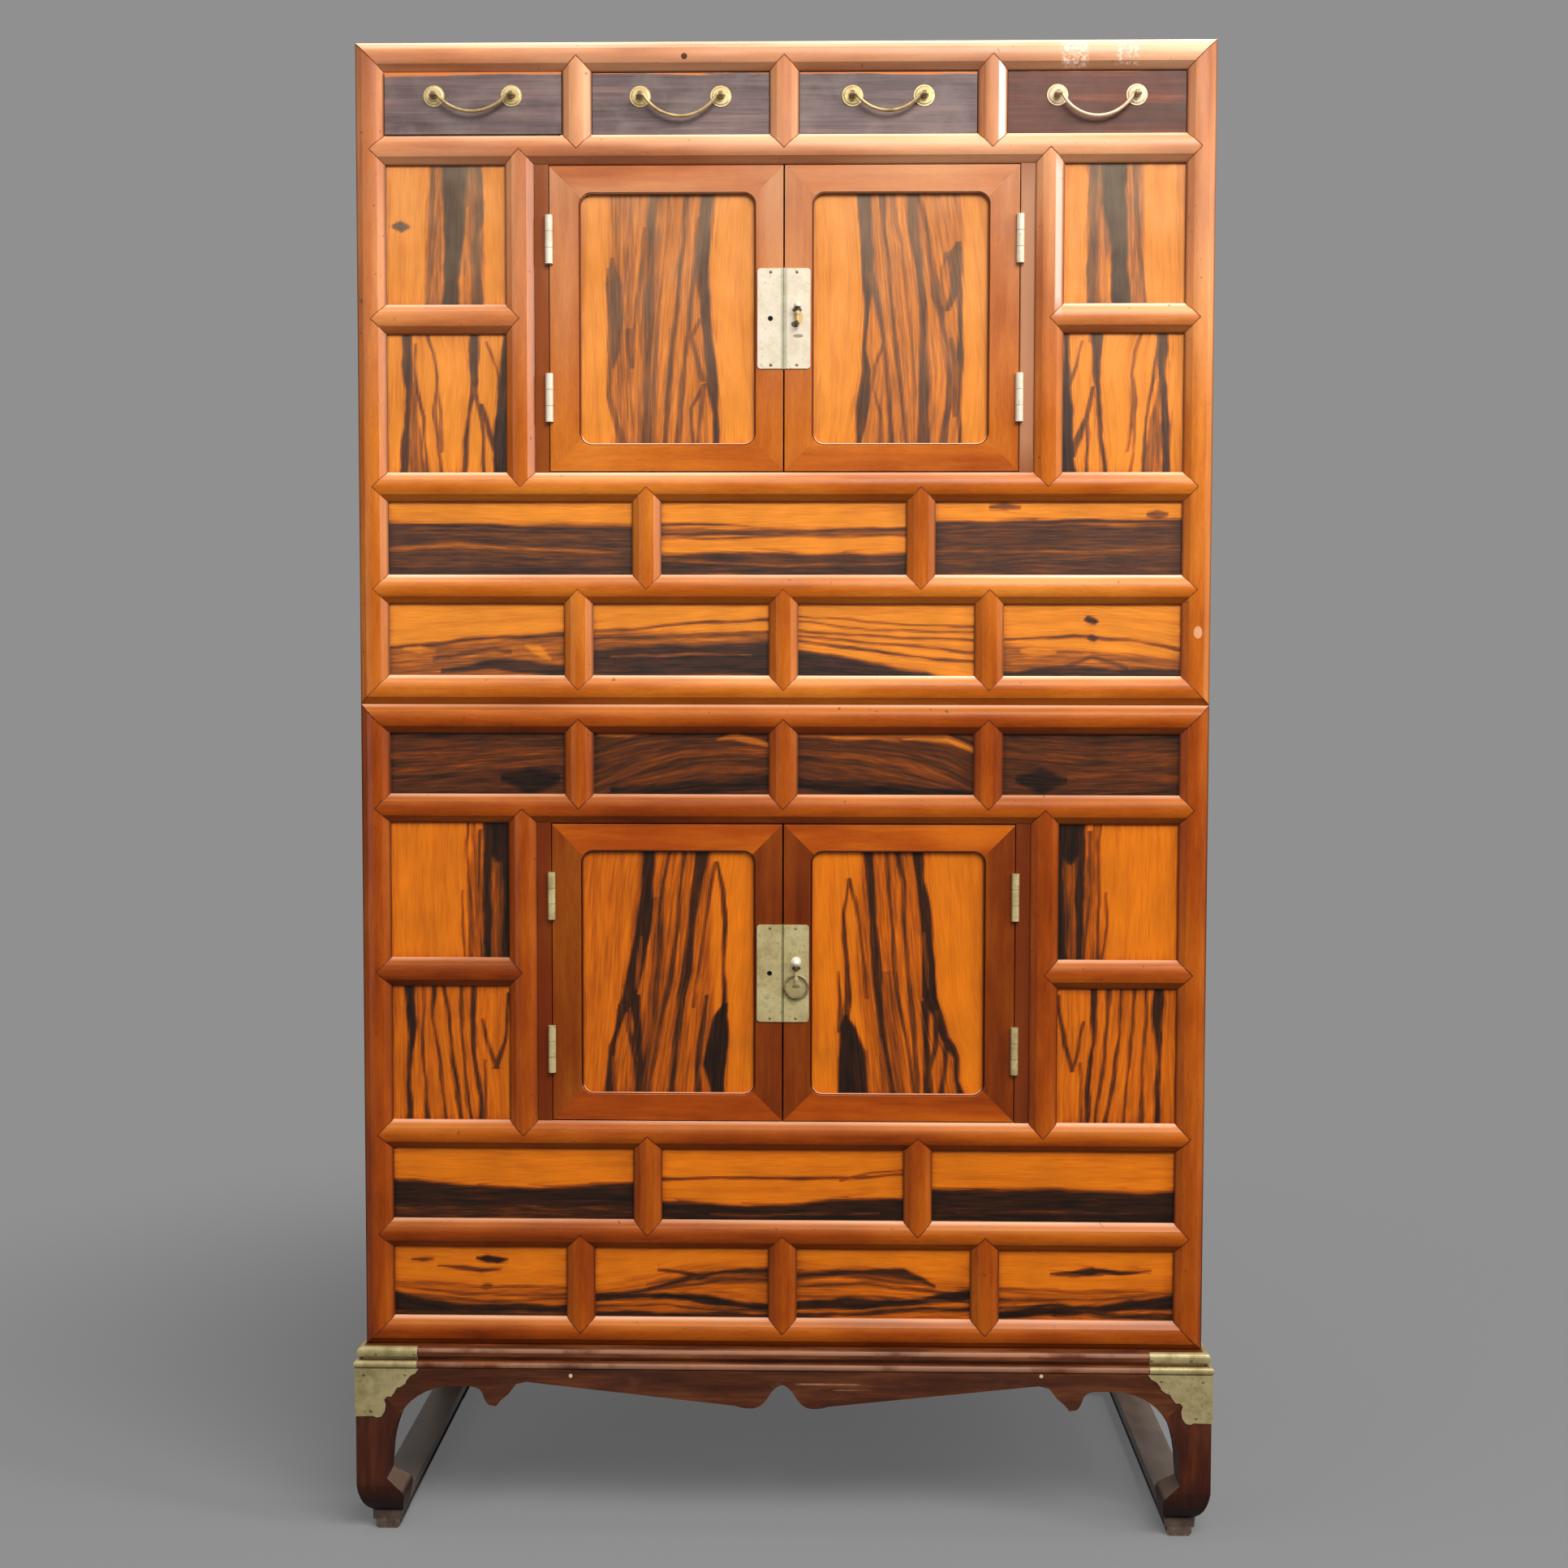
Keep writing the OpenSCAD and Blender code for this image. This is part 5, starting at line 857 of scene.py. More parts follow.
def polished(name, shades, highlight_and_wear, shade_and_grime, run="x", crossed=None, sheen=0.3, lift=0.0, marks=(), top_sheen=0.0,
             side_highlight=0.1, glow=1.0, edge=None):
    material, tree = new_material(name)
    place = add(tree, "TexCoord").outputs["Object"]
    xyz = add(tree, "SeparateXYZ", place)
    stretch = {axis: [ALONG_GRAIN if a == axis else ACROSS_GRAIN for a in "xyz"] for axis in "xyz"}
    across_here = crossed(tree, xyz) if crossed else None

    def stretched(factor, shift):
        def one(axis):
            scale = tuple(s * factor for s in stretch[axis])
            return add(tree, "VectorMath", place, scale, (shift, shift, shift), operation="MULTIPLY_ADD")
        if crossed is None:
            return one(run)
        return add(tree, "Mix", {0: across_here, 4: one(run), 5: one("x")}, data_type="VECTOR")

    broad = add(tree, "TexNoise", {"Vector": stretched(0.35, 1.0), "Scale": 1.0, "Detail": 3})
    lines = stretched(2.2, 5.0)
    figure_lines = add(tree, "TexNoise", {"Vector": lines, "Scale": 1.0, "Detail": 5, "Roughness": 0.62})
    pores = add(tree, "TexNoise", {"Vector": stretched(14, 9.0), "Scale": 1.0, "Detail": 3})
    patchy = add(tree, "TexNoise", {"Vector": place, "Scale": 9.0, "Detail": 3})
    sum_of = add(tree, "Math", figure_lines, 0.45, broad, operation="MULTIPLY_ADD")
    sum_of = add(tree, "Math", patchy, 0.55, sum_of, operation="MULTIPLY_ADD")
    tone = add(tree, "MapRange", sum_of, 0.72, 1.28)
    colour = add(tree, "ValToRGB", tone, stops=shades)
    line = add(tree, "MapRange", pores, 0.3, 0.62, 0.86 * glow, 1.04 * glow)
    if lift:
        line = add(tree, "Math", across_here, lift, line, operation="MULTIPLY_ADD")
    colour = add(tree, "VectorMath", {0: colour, 3: line}, operation="SCALE")
    # Bevels that look up or to the right carry a painted highlight from the lights above and at the right,
    # and rubbed wear, so they are paler.
    normal = add(tree, "SeparateXYZ", add(tree, "NewGeometry").outputs["Normal"])
    upward = add(tree, "MapRange", normal.outputs["Z"], 0.08, 0.4, 0.0, 0.42)
    sideways = add(tree, "MapRange", normal.outputs["X"], 0.4, 0.75, 0.0, side_highlight)
    worn = add(tree, "Math", upward, sideways, operation="MAXIMUM")
    unevenly = add(tree, "MapRange", broad, 0.35, 0.65, 0.35, 1.1)
    worn = add(tree, "Math", worn, unevenly, operation="MULTIPLY")
    colour = add(tree, "Mix", {0: worn, 6: colour, 7: linear(highlight_and_wear)}, data_type="RGBA")
    # Painted sheen: the frame turns lighter towards the top of the case, as the light from above makes it.
    if top_sheen:
        high = add(tree, "MapRange", xyz.outputs["Z"], 1.08, 1.38, 0.0, top_sheen)
        high = add(tree, "Math", high, unevenly, operation="MULTIPLY")
        colour = add(tree, "Mix", {0: high, 6: colour, 7: linear("#F4D8B8")}, data_type="RGBA")
    # Painted shade in the groove beside the boards, but a painted highlight line where the groove's edge
    # looks up.
    off = add(tree, "Math", xyz.outputs["Y"], -GROOVE_Y, operation="ADD")
    off = add(tree, "Math", off, operation="ABSOLUTE")
    groove_shade = add(tree, "MapRange", off, 0.0014, 0.0034, 0.9, 0.0)
    rim = add(tree, "MapRange", normal.outputs["Z"], 0.08, 0.4, 0.0, 1.0)
    lit_groove_edge = add(tree, "Math", groove_shade, rim, operation="MULTIPLY")
    groove_shade = add(tree, "Math", groove_shade, lit_groove_edge, operation="SUBTRACT")
    bright = add(tree, "MapRange", off, 0.0022, 0.0046, 0.9, 0.0)
    bright = add(tree, "Math", bright, rim, operation="MULTIPLY")
    bright = add(tree, "Math", bright, unevenly, operation="MULTIPLY")
    colour = add(tree, "Mix", {0: bright, 6: colour, 7: linear(edge or highlight_and_wear)}, data_type="RGBA")
    # Painted shade: lower bevels look at the floor and get less light, so they are darker.
    underside_shade = add(tree, "MapRange", normal.outputs["Z"], -0.1, -0.6, 0.0, 0.25)
    groove_shade = add(tree, "Math", groove_shade, underside_shade, operation="MAXIMUM")
    specks = add(tree, "TexNoise", {"Vector": place, "Scale": 160.0, "Detail": 2})
    nick = add(tree, "MapRange", specks, 0.71, 0.76, 0.0, 0.55)
    # One dark colour serves the painted shade of the groove and the lower bevels, and small real nicks.
    shade_and_nicks = add(tree, "Math", groove_shade, nick, operation="MAXIMUM")
    colour = add(tree, "Mix", {0: shade_and_nicks, 6: colour, 7: linear(shade_and_grime)}, data_type="RGBA")
    if marks:
        torn = add(tree, "TexNoise", {"Vector": place, "Scale": 260.0, "Detail": 3, "Roughness": 0.7})
        colour = marked(tree, xyz, colour, marks, torn)
    rough = add(tree, "MapRange", patchy, 0.3, 0.7, sheen - 0.03, sheen + 0.1)
    bump = add(tree, "Bump", {"Height": pores, "Strength": 0.2, "Distance": 0.0002})
    shader = add(tree, "BsdfPrincipled", {
        "Base Color": colour, "Roughness": rough, "Normal": bump,
        "Specular IOR Level": 0.2, "Coat Weight": 0.08, "Coat Roughness": 0.2})
    add(tree, "OutputMaterial", {"Surface": shader})
    return material


print("the figure repeats every", 1000 // ALONG_GRAIN, "mm along, every", 1000 // ACROSS_GRAIN, "mm across")

# %% Which way the grain runs
DOOR_X, DOOR_HALF = 0.1129, 0.1121  # a door's middle, and half its width
STILE_X, POST_X = 0.253, 0.396  # lines that the tips of a short rail reach
HALF_RAIL = 0.0142
DOOR_Z = 0.369  # middle of the doors above the foot of their case


def mitred_door(bottom, top):
    # A rail of the frame is wherever the top or bottom is nearer than either side.
    def crossed(tree, xyz):
        from_stile = add(tree, "Math", xyz.outputs["X"], operation="ABSOLUTE")
        from_stile = add(tree, "Math", from_stile, -DOOR_X, operation="ADD")
        from_stile = add(tree, "Math", from_stile, operation="ABSOLUTE")
        from_rail = add(tree, "Math", xyz.outputs["Z"], -(bottom + top) / 2, operation="ADD")
        from_rail = add(tree, "Math", from_rail, operation="ABSOLUTE")
        margin = (top - bottom) / 2 - DOOR_HALF
        stile_wins = add(tree, "Math", from_rail, -margin, operation="ADD")
        return add(tree, "Math", stile_wins, from_stile, operation="GREATER_THAN")
    return crossed


def short_rails(tier):
    # A short rail is pointed at both ends, so its half height shrinks towards them.
    def crossed(tree, xyz):
        out = add(tree, "Math", xyz.outputs["X"], operation="ABSOLUTE")
        from_stile = add(tree, "Math", out, STILE_X, operation="SUBTRACT")
        from_post = add(tree, "Math", POST_X, out, operation="SUBTRACT")
        half = add(tree, "Math", from_stile, from_post, operation="MINIMUM")
        half = add(tree, "Math", half, HALF_RAIL, operation="MINIMUM")
        high = add(tree, "Math", xyz.outputs["Z"], -(tier + DOOR_Z), operation="ADD")
        high = add(tree, "Math", high, operation="ABSOLUTE")
        return add(tree, "Math", high, half, operation="LESS_THAN")
    return crossed


print("a short rail is", round((POST_X - STILE_X) / MM), "mm long from tip to tip")

# %% The frame of both cases
TIERS = {"upper": 0.816, "lower": 0.186}  # height of each case's foot
# Per case: the frame's shades, the pale colour of painted highlight and wear, and the dark colour of painted
# shade and grime.
WARM = {
    "upper": (((0.0, "#903E06"), (0.45, "#B0590E"), (1.0, "#CC7824")), "#E8A870", "#5A280A"),
    "lower": (((0.0, "#6A2602"), (0.45, "#903C04"), (1.0, "#B25A0A")), "#C67E3C", "#361204"),
}
# The pale colour of the painted highlight where a groove's edge looks up.
RIM_HIGHLIGHTS = {"upper": "#F2D0B0", "lower": "#DCA480"}
# How strong the painted sheen at the top of each case is.
TOP_SHEEN = {"upper": 0.28, "lower": 0.0}
# The upper doors are brightened partly as painted sheen of the light from above.
DOORS = {"upper": (1.45, 0.15), "lower": (0.97, 0.95)}  # how bright a door is, and what its rails add
# Two torn labels and a nail hole on the top rail. The jamb strips are tinted, and in the
# upper case two bevels carry a painted white highlight and the right post is chipped.
RAIL_MARKS = ((0.275, 1.4325, 0.0125, 0.0125, "#F0D2BE", 0.85, 0.50),
              (0.324, 1.4335, 0.0115, 0.0120, "#F0D2BE", 0.8, 0.53),
              (-0.095, 1.4305, 0.0030, 0.0030, "#2A120A", 0.9, 0))
STRIP_MARKS = {
    "upper": ((-0.2323, 1.187, 0.0066, 0.146, "#8E3C12", 0.15, 0.01),
              (0.2323, 1.187, 0.0066, 0.146, "#C09070", 0.5, 0.01),
              (0.2065, 1.3885, 0.0034, 0.0420, "#F6E8E0", 0.7, 0.01),
              (0.2610, 1.2645, 0.0034, 0.0730, "#F6E8E0", 0.45, 0.01),
              (0.3970, 0.886, 0.0042, 0.0060, "#ECC098", 0.45, 0)),
    "lower": ((-0.2323, 0.557, 0.0066, 0.146, "#6E2408", 0.5, 0.01),
              (0.2323, 0.557, 0.0066, 0.146, "#6E2C10", 0.5, 0.01)),
}


def paint(node, material):
    piece = nodes[node]
    piece.data.materials.clear()
    piece.data.materials.append(material)


for case, tier in TIERS.items():
    colours, top_sheen, (glow, lift) = WARM[case], TOP_SHEEN[case], DOORS[case]
    rails = polished(case + "_frame_along", *colours, "x", marks=RAIL_MARKS if case == "upper" else (),
                     top_sheen=top_sheen * 1.3, edge=RIM_HIGHLIGHTS[case])
    uprights = polished(case + "_frame_upright", *colours, "z", short_rails(tier), marks=STRIP_MARKS[case],
                        top_sheen=top_sheen, side_highlight=0.3 if top_sheen else 0.1, edge=RIM_HIGHLIGHTS[case])
    inward = polished(case + "_frame_inward", *colours, "y", top_sheen=top_sheen)
    for node, material in (("front_rails", rails), ("posts", uprights), ("front_dividers", uprights),
                           ("side_rails", inward)):
        paint(f"{case}_{node}", material)
    low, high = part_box(case + "_left_door_frame")
    keyhole = (-0.011, tier + 0.368, 0.005, 0.008, "#0C0604", 1.0, 0)
    door = polished(case + "_mitred_door", *colours, "z", mitred_door(low[2], high[2]), lift=lift,
                    marks=(keyhole,), top_sheen=top_sheen * 1.5, glow=glow, edge=RIM_HIGHLIGHTS[case])
    for side in ("left", "right"):
        paint(f"{case}_{side}_door_frame", door)
    if case == "upper":
        shades, _, shade_and_grime = colours
        paint("upper_top_board", polished("upper_top_wood", shades, shades[2][1], shade_and_grime, "x", sheen=0.34))
print("frame finishes on", sum(1 for n in nodes.values() if n.data.materials), "nodes")

# %% [markdown]
# ## Boards that nobody polishes
#
# The sides have plain framed panels under the same oil. Backs, floors, shelf,
# partitions and drawer trays are bare softwood, paler and dull, with open grain.

# %% Side panels and plain wood
SIDE = polished("oiled_side_panels", ((0.0, "#8A4A20"), (0.5, "#A9602C"), (1.0, "#C27C42")), "#C27C42",
                "#5A2A10", "z", sheen=0.38)
PLAIN = polished("bare_softwood", ((0.0, "#A87C4C"), (0.5, "#BE9462"), (1.0, "#CFAA78")), "#CFAA78",
                 "#A87C4C", "x", sheen=0.6)
for part in frame["record"]["subparts"]:
    if part["material_slot"] == "side_wood":
        paint(part["node"], SIDE)
    elif part["material_slot"] == "plain_wood":
        paint(part["node"], PLAIN)
print("plain finishes", SIDE.name, PLAIN.name)

# %% [markdown]
# ## Drawer fronts
#
# The drawer fronts are cut from the dark heart itself. Three of them look grey
# and purple where the oil has dried out, with a last line of orange sapwood at
# the upper edge, and the fourth is a deep red brown.

# %% Dark heartwood
def heartwood(name, shades, sapwood, edge, veil):
    material, tree = new_material(name)
    place = add(tree, "TexCoord").outputs["Object"]
    xyz = add(tree, "SeparateXYZ", place)

    def streaks(scale, shift, detail):
        at = add(tree, "VectorMath", place, scale, (shift, shift, shift), operation="MULTIPLY_ADD")
        return add(tree, "TexNoise", {"Vector": at, "Scale": 1.0, "Detail": detail, "Roughness": 0.6,
                                      "Distortion": 0.3})

    bands = streaks((6, 40, 90), 2.0, 4)
    lines = streaks((12, 60, 420), 4.0, 4)
    dust = streaks((30, 30, 30), 6.0, 4)
    sum_of = add(tree, "Math", lines, 0.6, bands, operation="MULTIPLY_ADD")
    tone = add(tree, "MapRange", sum_of, 0.55, 1.05)
    colour = add(tree, "ValToRGB", tone, stops=shades)
    ragged = add(tree, "Math", bands, 0.020, xyz.outputs["Z"], operation="MULTIPLY_ADD")
    top = add(tree, "MapRange", ragged, edge, edge + 0.0012)
    colour = add(tree, "Mix", {0: top, 6: colour, 7: linear(sapwood)}, data_type="RGBA")
    grey = add(tree, "MapRange", dust, 0.45, 0.75, 0.0, veil)
    colour = add(tree, "Mix", {0: grey, 6: colour, 7: linear("#8A7B74")}, data_type="RGBA")
    bump = add(tree, "Bump", {"Height": lines, "Strength": 0.3, "Distance": 0.0002})
    shader = add(tree, "BsdfPrincipled", {
        "Base Color": colour, "Roughness": 0.5, "Normal": bump,
        "Specular IOR Level": 0.35, "Coat Weight": 0.05, "Coat Roughness": 0.25})
    add(tree, "OutputMaterial", {"Surface": shader})
    return material


DRIED = ((0.0, "#483834"), (0.5, "#625050"), (0.8, "#745C58"), (1.0, "#866656"))
BROWN = ((0.0, "#40200F"), (0.5, "#582814"), (0.8, "#6C341C"), (1.0, "#7C4024"))
front_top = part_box("drawer_2_front")[1][2]
dried = heartwood("dried_black_heartwood", DRIED, "#C8702A", front_top + 0.0075, 0.38)
brown = heartwood("brown_black_heartwood", BROWN, "#A85A24", front_top + 0.0095, 0.1)
for k in (1, 2, 3, 4):
    paint(f"drawer_{k}_front", brown if k == 4 else dried)
print("drawer fronts end at", round(front_top, 4))

# %% [markdown]
# ## The stand
#
# The stand is stained almost black and then worn. The beads and the top edges
# are rubbed to a pinkish brown and carry a painted highlight, the feet have gone
# black, dust lies on the floor runners, and the runners' sides are in painted
# shade. The height above the floor decides most of this, and noise keeps the
# borders from being straight.

# %% Stained stand wood
BEAD_Y, BEAD_Z = (-0.2085, -0.2115), (0.164, 0.167)  # the beads begin between the two values
FOOT_Z = (0.045, 0.075)  # black below the first height, plain above the second
TOE_Z = 0.08  # what looks up below this height is dusty


def stained(name, shades, run="x", dusty=False, bead_highlight_colour="#D0A68A", marks=()):
    material, tree = new_material(name)
    place = add(tree, "TexCoord").outputs["Object"]
    xyz = add(tree, "SeparateXYZ", place)
    stretch = {"x": (9, 90, 90), "y": (90, 9, 90), "z": (90, 90, 9)}[run]
    fine = add(tree, "VectorMath", place, stretch, operation="MULTIPLY")
    lines = add(tree, "TexNoise", {"Vector": fine, "Scale": 1.0, "Detail": 5, "Roughness": 0.65})
    finer = add(tree, "TexNoise", {"Vector": fine, "Scale": 6.0, "Detail": 3})
    patchy = add(tree, "TexNoise", {"Vector": place, "Scale": 16.0, "Detail": 4, "Roughness": 0.6})
    colour = add(tree, "ValToRGB", lines, stops=shades)
    # Painted highlight and rubbed wear: the beads of the top frame stand further out than anything below
    # them.
    facing = add(tree, "SeparateXYZ", add(tree, "NewGeometry").outputs["Normal"])
    upward = add(tree, "MapRange", facing.outputs["Z"], -0.1, 0.5)
    highlight_and_wear = add(tree, "MapRange", xyz.outputs["Y"], *BEAD_Y, 0.0, 1.5)
    highlight_and_wear = add(tree, "Math", highlight_and_wear, upward, operation="MULTIPLY")
    band = add(tree, "MapRange", xyz.outputs["Z"], *BEAD_Z)
    highlight_and_wear = add(tree, "Math", highlight_and_wear, band, operation="MULTIPLY")
    highlight_and_wear = add(tree, "Math", highlight_and_wear, patchy, operation="MULTIPLY")
    colour = add(tree, "Mix", {0: highlight_and_wear, 6: colour, 7: linear(bead_highlight_colour)}, data_type="RGBA")
    worn = add(tree, "MapRange", patchy, 0.60, 0.72, 0.0, 0.35)
    colour = add(tree, "Mix", {0: worn, 6: colour, 7: linear("#7A4628")}, data_type="RGBA")
    ragged = add(tree, "Math", patchy, 0.03, xyz.outputs["Z"], operation="MULTIPLY_ADD")
    foot = add(tree, "MapRange", ragged, *FOOT_Z, 0.8, 0.0)
    if not dusty:
        colour = add(tree, "Mix", {0: foot, 6: colour, 7: linear("#160D08")}, data_type="RGBA")
        low = add(tree, "Math", xyz.outputs["Z"], TOE_Z, operation="LESS_THAN")
        level = add(tree, "MapRange", facing.outputs["Z"], 0.3, 0.8)
        toe = add(tree, "Math", level, low, operation="MULTIPLY")
        toe = add(tree, "Math", toe, patchy, operation="MULTIPLY")
        colour = add(tree, "Mix", {0: toe, 6: colour, 7: linear("#86705C")}, data_type="RGBA")
    else:
        dust = add(tree, "Math", upward, patchy, operation="MULTIPLY")
        colour = add(tree, "Mix", {0: dust, 6: colour, 7: linear("#7A6A5E")}, data_type="RGBA")
        # Painted shade: the runners' side faces turn near black.
        sideways = add(tree, "Math", facing.outputs["X"], operation="ABSOLUTE")
        side_shade = add(tree, "MapRange", sideways, 0.5, 0.9, 0.0, 0.85)
        colour = add(tree, "Mix", {0: side_shade, 6: colour, 7: linear("#17120E")}, data_type="RGBA")
    colour = marked(tree, xyz, colour, marks, patchy)
    rough = add(tree, "MapRange", patchy, 0.3, 0.7, 0.36, 0.56)
    bump = add(tree, "Bump", {"Height": finer, "Strength": 0.35, "Distance": 0.0003})
    shader = add(tree, "BsdfPrincipled", {
        "Base Color": colour, "Roughness": rough, "Normal": bump,
        "Specular IOR Level": 0.3, "Coat Weight": 0.1, "Coat Roughness": 0.25})
    add(tree, "OutputMaterial", {"Surface": shader})
    return material


RED_BROWN = ((0.3, "#2E1206"), (0.5, "#48210C"), (0.68, "#66351A"))
DEEP_BROWN = ((0.3, "#260C04"), (0.5, "#401806"), (0.68, "#58260C"))
GREY_BROWN = ((0.3, "#2C231C"), (0.5, "#453830"), (0.68, "#5C4C40"))
BEAD_BROWN = ((0.3, "#38180A"), (0.5, "#5E2E14"), (0.68, "#824824"))
PAD_BROWN = ((0.3, "#3A2E28"), (0.5, "#5A4A40"), (0.68, "#76645A"))
CHIPS = ((-0.2067, 0.1600, 0.0018, 0.0021, "#D0BC98", 0.9, 0),
         (0.2525, 0.1635, 0.0019, 0.0019, "#D8C0A0", 0.8, 0),
         (0.0450, 0.1535, 0.0300, 0.0009, "#B08868", 0.5, 0.45),
         (0.0700, 0.1480, 0.0200, 0.0006, "#A07858", 0.4, 0.45))
# Painted highlights along the crests of the two beads.
BEAD_HIGHLIGHTS = ((0.0, 0.1832, 0.43, 0.0018, "#B88A6C", 0.4, 0.38),
          (0.0, 0.1697, 0.43, 0.0027, "#A87C62", 0.5, 0.38))
ALONG = stained("stained_along", RED_BROWN, "x", marks=CHIPS)
UP = stained("stained_upright", DEEP_BROWN, "z")
INWARD = stained("stained_inward", DEEP_BROWN, "y")
BEADS = stained("stained_beads", BEAD_BROWN, "x", bead_highlight_colour="#E0AC80", marks=BEAD_HIGHLIGHTS)
RUNNERS = stained("dusty_runner", GREY_BROWN, "y", True)
PADS = stained("worn_pad", PAD_BROWN, "y", True)
for node, material in (("stand_top_frame", BEADS), ("front_apron", ALONG), ("back_apron", ALONG),
                       ("side_aprons", INWARD), ("stand_legs", UP), ("floor_runners", RUNNERS),
                       ("runner_pads", PADS)):
    paint(node, material)
print("stand finished in", ALONG.name, UP.name)

# %% [markdown]
# ## Brass
#
# The fittings are sheet brass that has been polished often. On the upper case
# they are painted nearly cream, which stands in for the bright light they
# reflect; on the fourth drawer they are peach, on the lower case greener and at
# the stand's corners dull. Tarnish stays in spots, and the metal shows fine
# scratches in every direction. Painted shadow lies around the staples and in the
# bails' eyes, and one ball head carries a painted highlight.

# %% Aged brass
def brass(name, pale, body, tarnish, amount, shine, marks=()):
    material, tree = new_material(name)
    place = add(tree, "TexCoord").outputs["Object"]
    cloud = add(tree, "TexNoise", {"Vector": place, "Scale": 55.0, "Detail": 5, "Roughness": 0.65})
    spots = add(tree, "TexNoise", {"Vector": place, "Scale": 300.0, "Detail": 3})
    brushed = add(tree, "VectorMath", place, (2600, 900, 260), operation="MULTIPLY")
    scratches = add(tree, "TexNoise", {"Vector": brushed, "Scale": 1.0, "Detail": 2})
    colour = add(tree, "ValToRGB", cloud, stops=((0.35, body), (0.65, pale)))
    speck = add(tree, "MapRange", spots, 0.60, 0.72, 0.0, 0.5)
    veil = add(tree, "MapRange", cloud, 0.5, 0.2, 0.0, amount)
    stain = add(tree, "Math", speck, veil, operation="MAXIMUM")
    colour = add(tree, "Mix", {0: stain, 6: colour, 7: linear(tarnish)}, data_type="RGBA")
    if marks:
        colour = marked(tree, add(tree, "SeparateXYZ", place), colour, marks, cloud)
    rough = add(tree, "MapRange", cloud, 0.3, 0.7, 0.48, 0.36)
    bump = add(tree, "Bump", {"Height": scratches, "Strength": 0.12, "Distance": 0.0001})
    shader = add(tree, "BsdfPrincipled", {
        "Base Color": colour, "Roughness": rough, "Metallic": shine, "Normal": bump})
    add(tree, "OutputMaterial", {"Surface": shader})
    return material


# The line where the plates meet is darker, the staple is painted gold, and painted shadow lies above and
# below the staple, with a darker patch lower down.
REFLECTING_CREAM = brass("cream_plate_brass", "#D8CDB9", "#CEC1A8", "#A08C60", 0.3, 0.1,
              ((0.0, 1.185, 0.0030, 0.055, "#8E8A6E", 0.6, 0.01),
               (0.0135, 1.1855, 0.0048, 0.0070, "#C4A04C", 0.75, 0),
               (0.0126, 1.1930, 0.0048, 0.0022, "#3E3420", 0.9, 0),
               (0.0108, 1.1795, 0.0040, 0.0030, "#34280C", 0.9, 0),
               (0.0135, 1.1685, 0.0050, 0.0018, "#5A503E", 0.7, 0)))
BAIL = brass("brown_bail_brass", "#C0A878", "#947C4C", "#4A3818", 0.7, 0.5)
# Painted shadow: each bail's eyes, and the rosette round them, are painted dark.
EYE_Z, EYE_IN = 1.395, 3.6 * MM
eye_shadows = []
for k in (1, 2, 3, 4):
    low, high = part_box(f"drawer_{k}_bail")
    for x in (low[0] + EYE_IN, high[0] - EYE_IN):
        eye_shadows.append((x, EYE_Z, 0.0044, 0.0032, "#3E2E14" if k < 4 else "#7A5A38", 0.8, 0))
GOLD = brass("yellow_drawer_brass", "#D8C492", "#BCA068", "#5E481E", 0.6, 0.45, eye_shadows[:6])
PEACH = brass("peach_drawer_brass", "#DCC6A6", "#CCB08A", "#8A6C40", 0.5, 0.25, eye_shadows[6:])
# The line where the plates meet is darker; a painted highlight lies on the ball head, and painted shadow lies
# below it and in the middle of the ring.
GREEN = brass("greenish_aged_brass", "#CCBE8C", "#B29F6A", "#665E3A", 0.4, 0.4,
              ((0.0, 0.555, 0.0013, 0.055, "#6A6240", 0.6, 0.01),
               (0.013, 0.5670, 0.0048, 0.0044, "#F4ECD8", 0.95, 0),
               (0.013, 0.5600, 0.0044, 0.0022, "#2A2010", 0.9, 0),
               (0.013, 0.5420, 0.0040, 0.0018, "#4A4022", 0.6, 0)))
DULL = brass("dull_corner_brass", "#B8AA7C", "#9E8F5E", "#5A5232", 0.5, 0.4)
RING = brass("dark_ring_brass", "#9E9068", "#7C6E4A", "#2E2814", 0.8, 0.45)
TONES_BY_PART = {"upper": REFLECTING_CREAM, "drawer": GOLD, "pull": RING, "corner": DULL}
for part in frame["record"]["subparts"]:
    if part["material_slot"] == "brass":
        node = part["node"]
        metal = BAIL if node.endswith("bail") else TONES_BY_PART.get(node.split("_")[0], GREEN)
        paint(node, PEACH if node.startswith("drawer_4") else metal)
print("brass in seven ages:", [metal.name for metal in (REFLECTING_CREAM, PEACH, GOLD, BAIL, GREEN, DULL, RING)])

# %% [markdown]
# ## Nails
#
# The plates are held by small brass pins with low domed heads. One head is
# modelled: a disc is extruded three times and drawn in a little each time, which
# leaves a dome with a flat rim. Every other nail is a copy with its own mesh.

# %% A domed nail head
def place_copy(piece, name, at, turn=None):
    copy = piece.copy()
    copy.data = piece.data.copy()
    copy.name = name
    copy.data.transform(Matrix.Translation(Vector(at)) @ (turn or Matrix.Identity(4)))
    bpy.context.scene.collection.objects.link(copy)
    return copy


def claim(piece, body, material):
    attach(piece, body)
    piece.data.materials.clear()
    piece.data.materials.append(material)


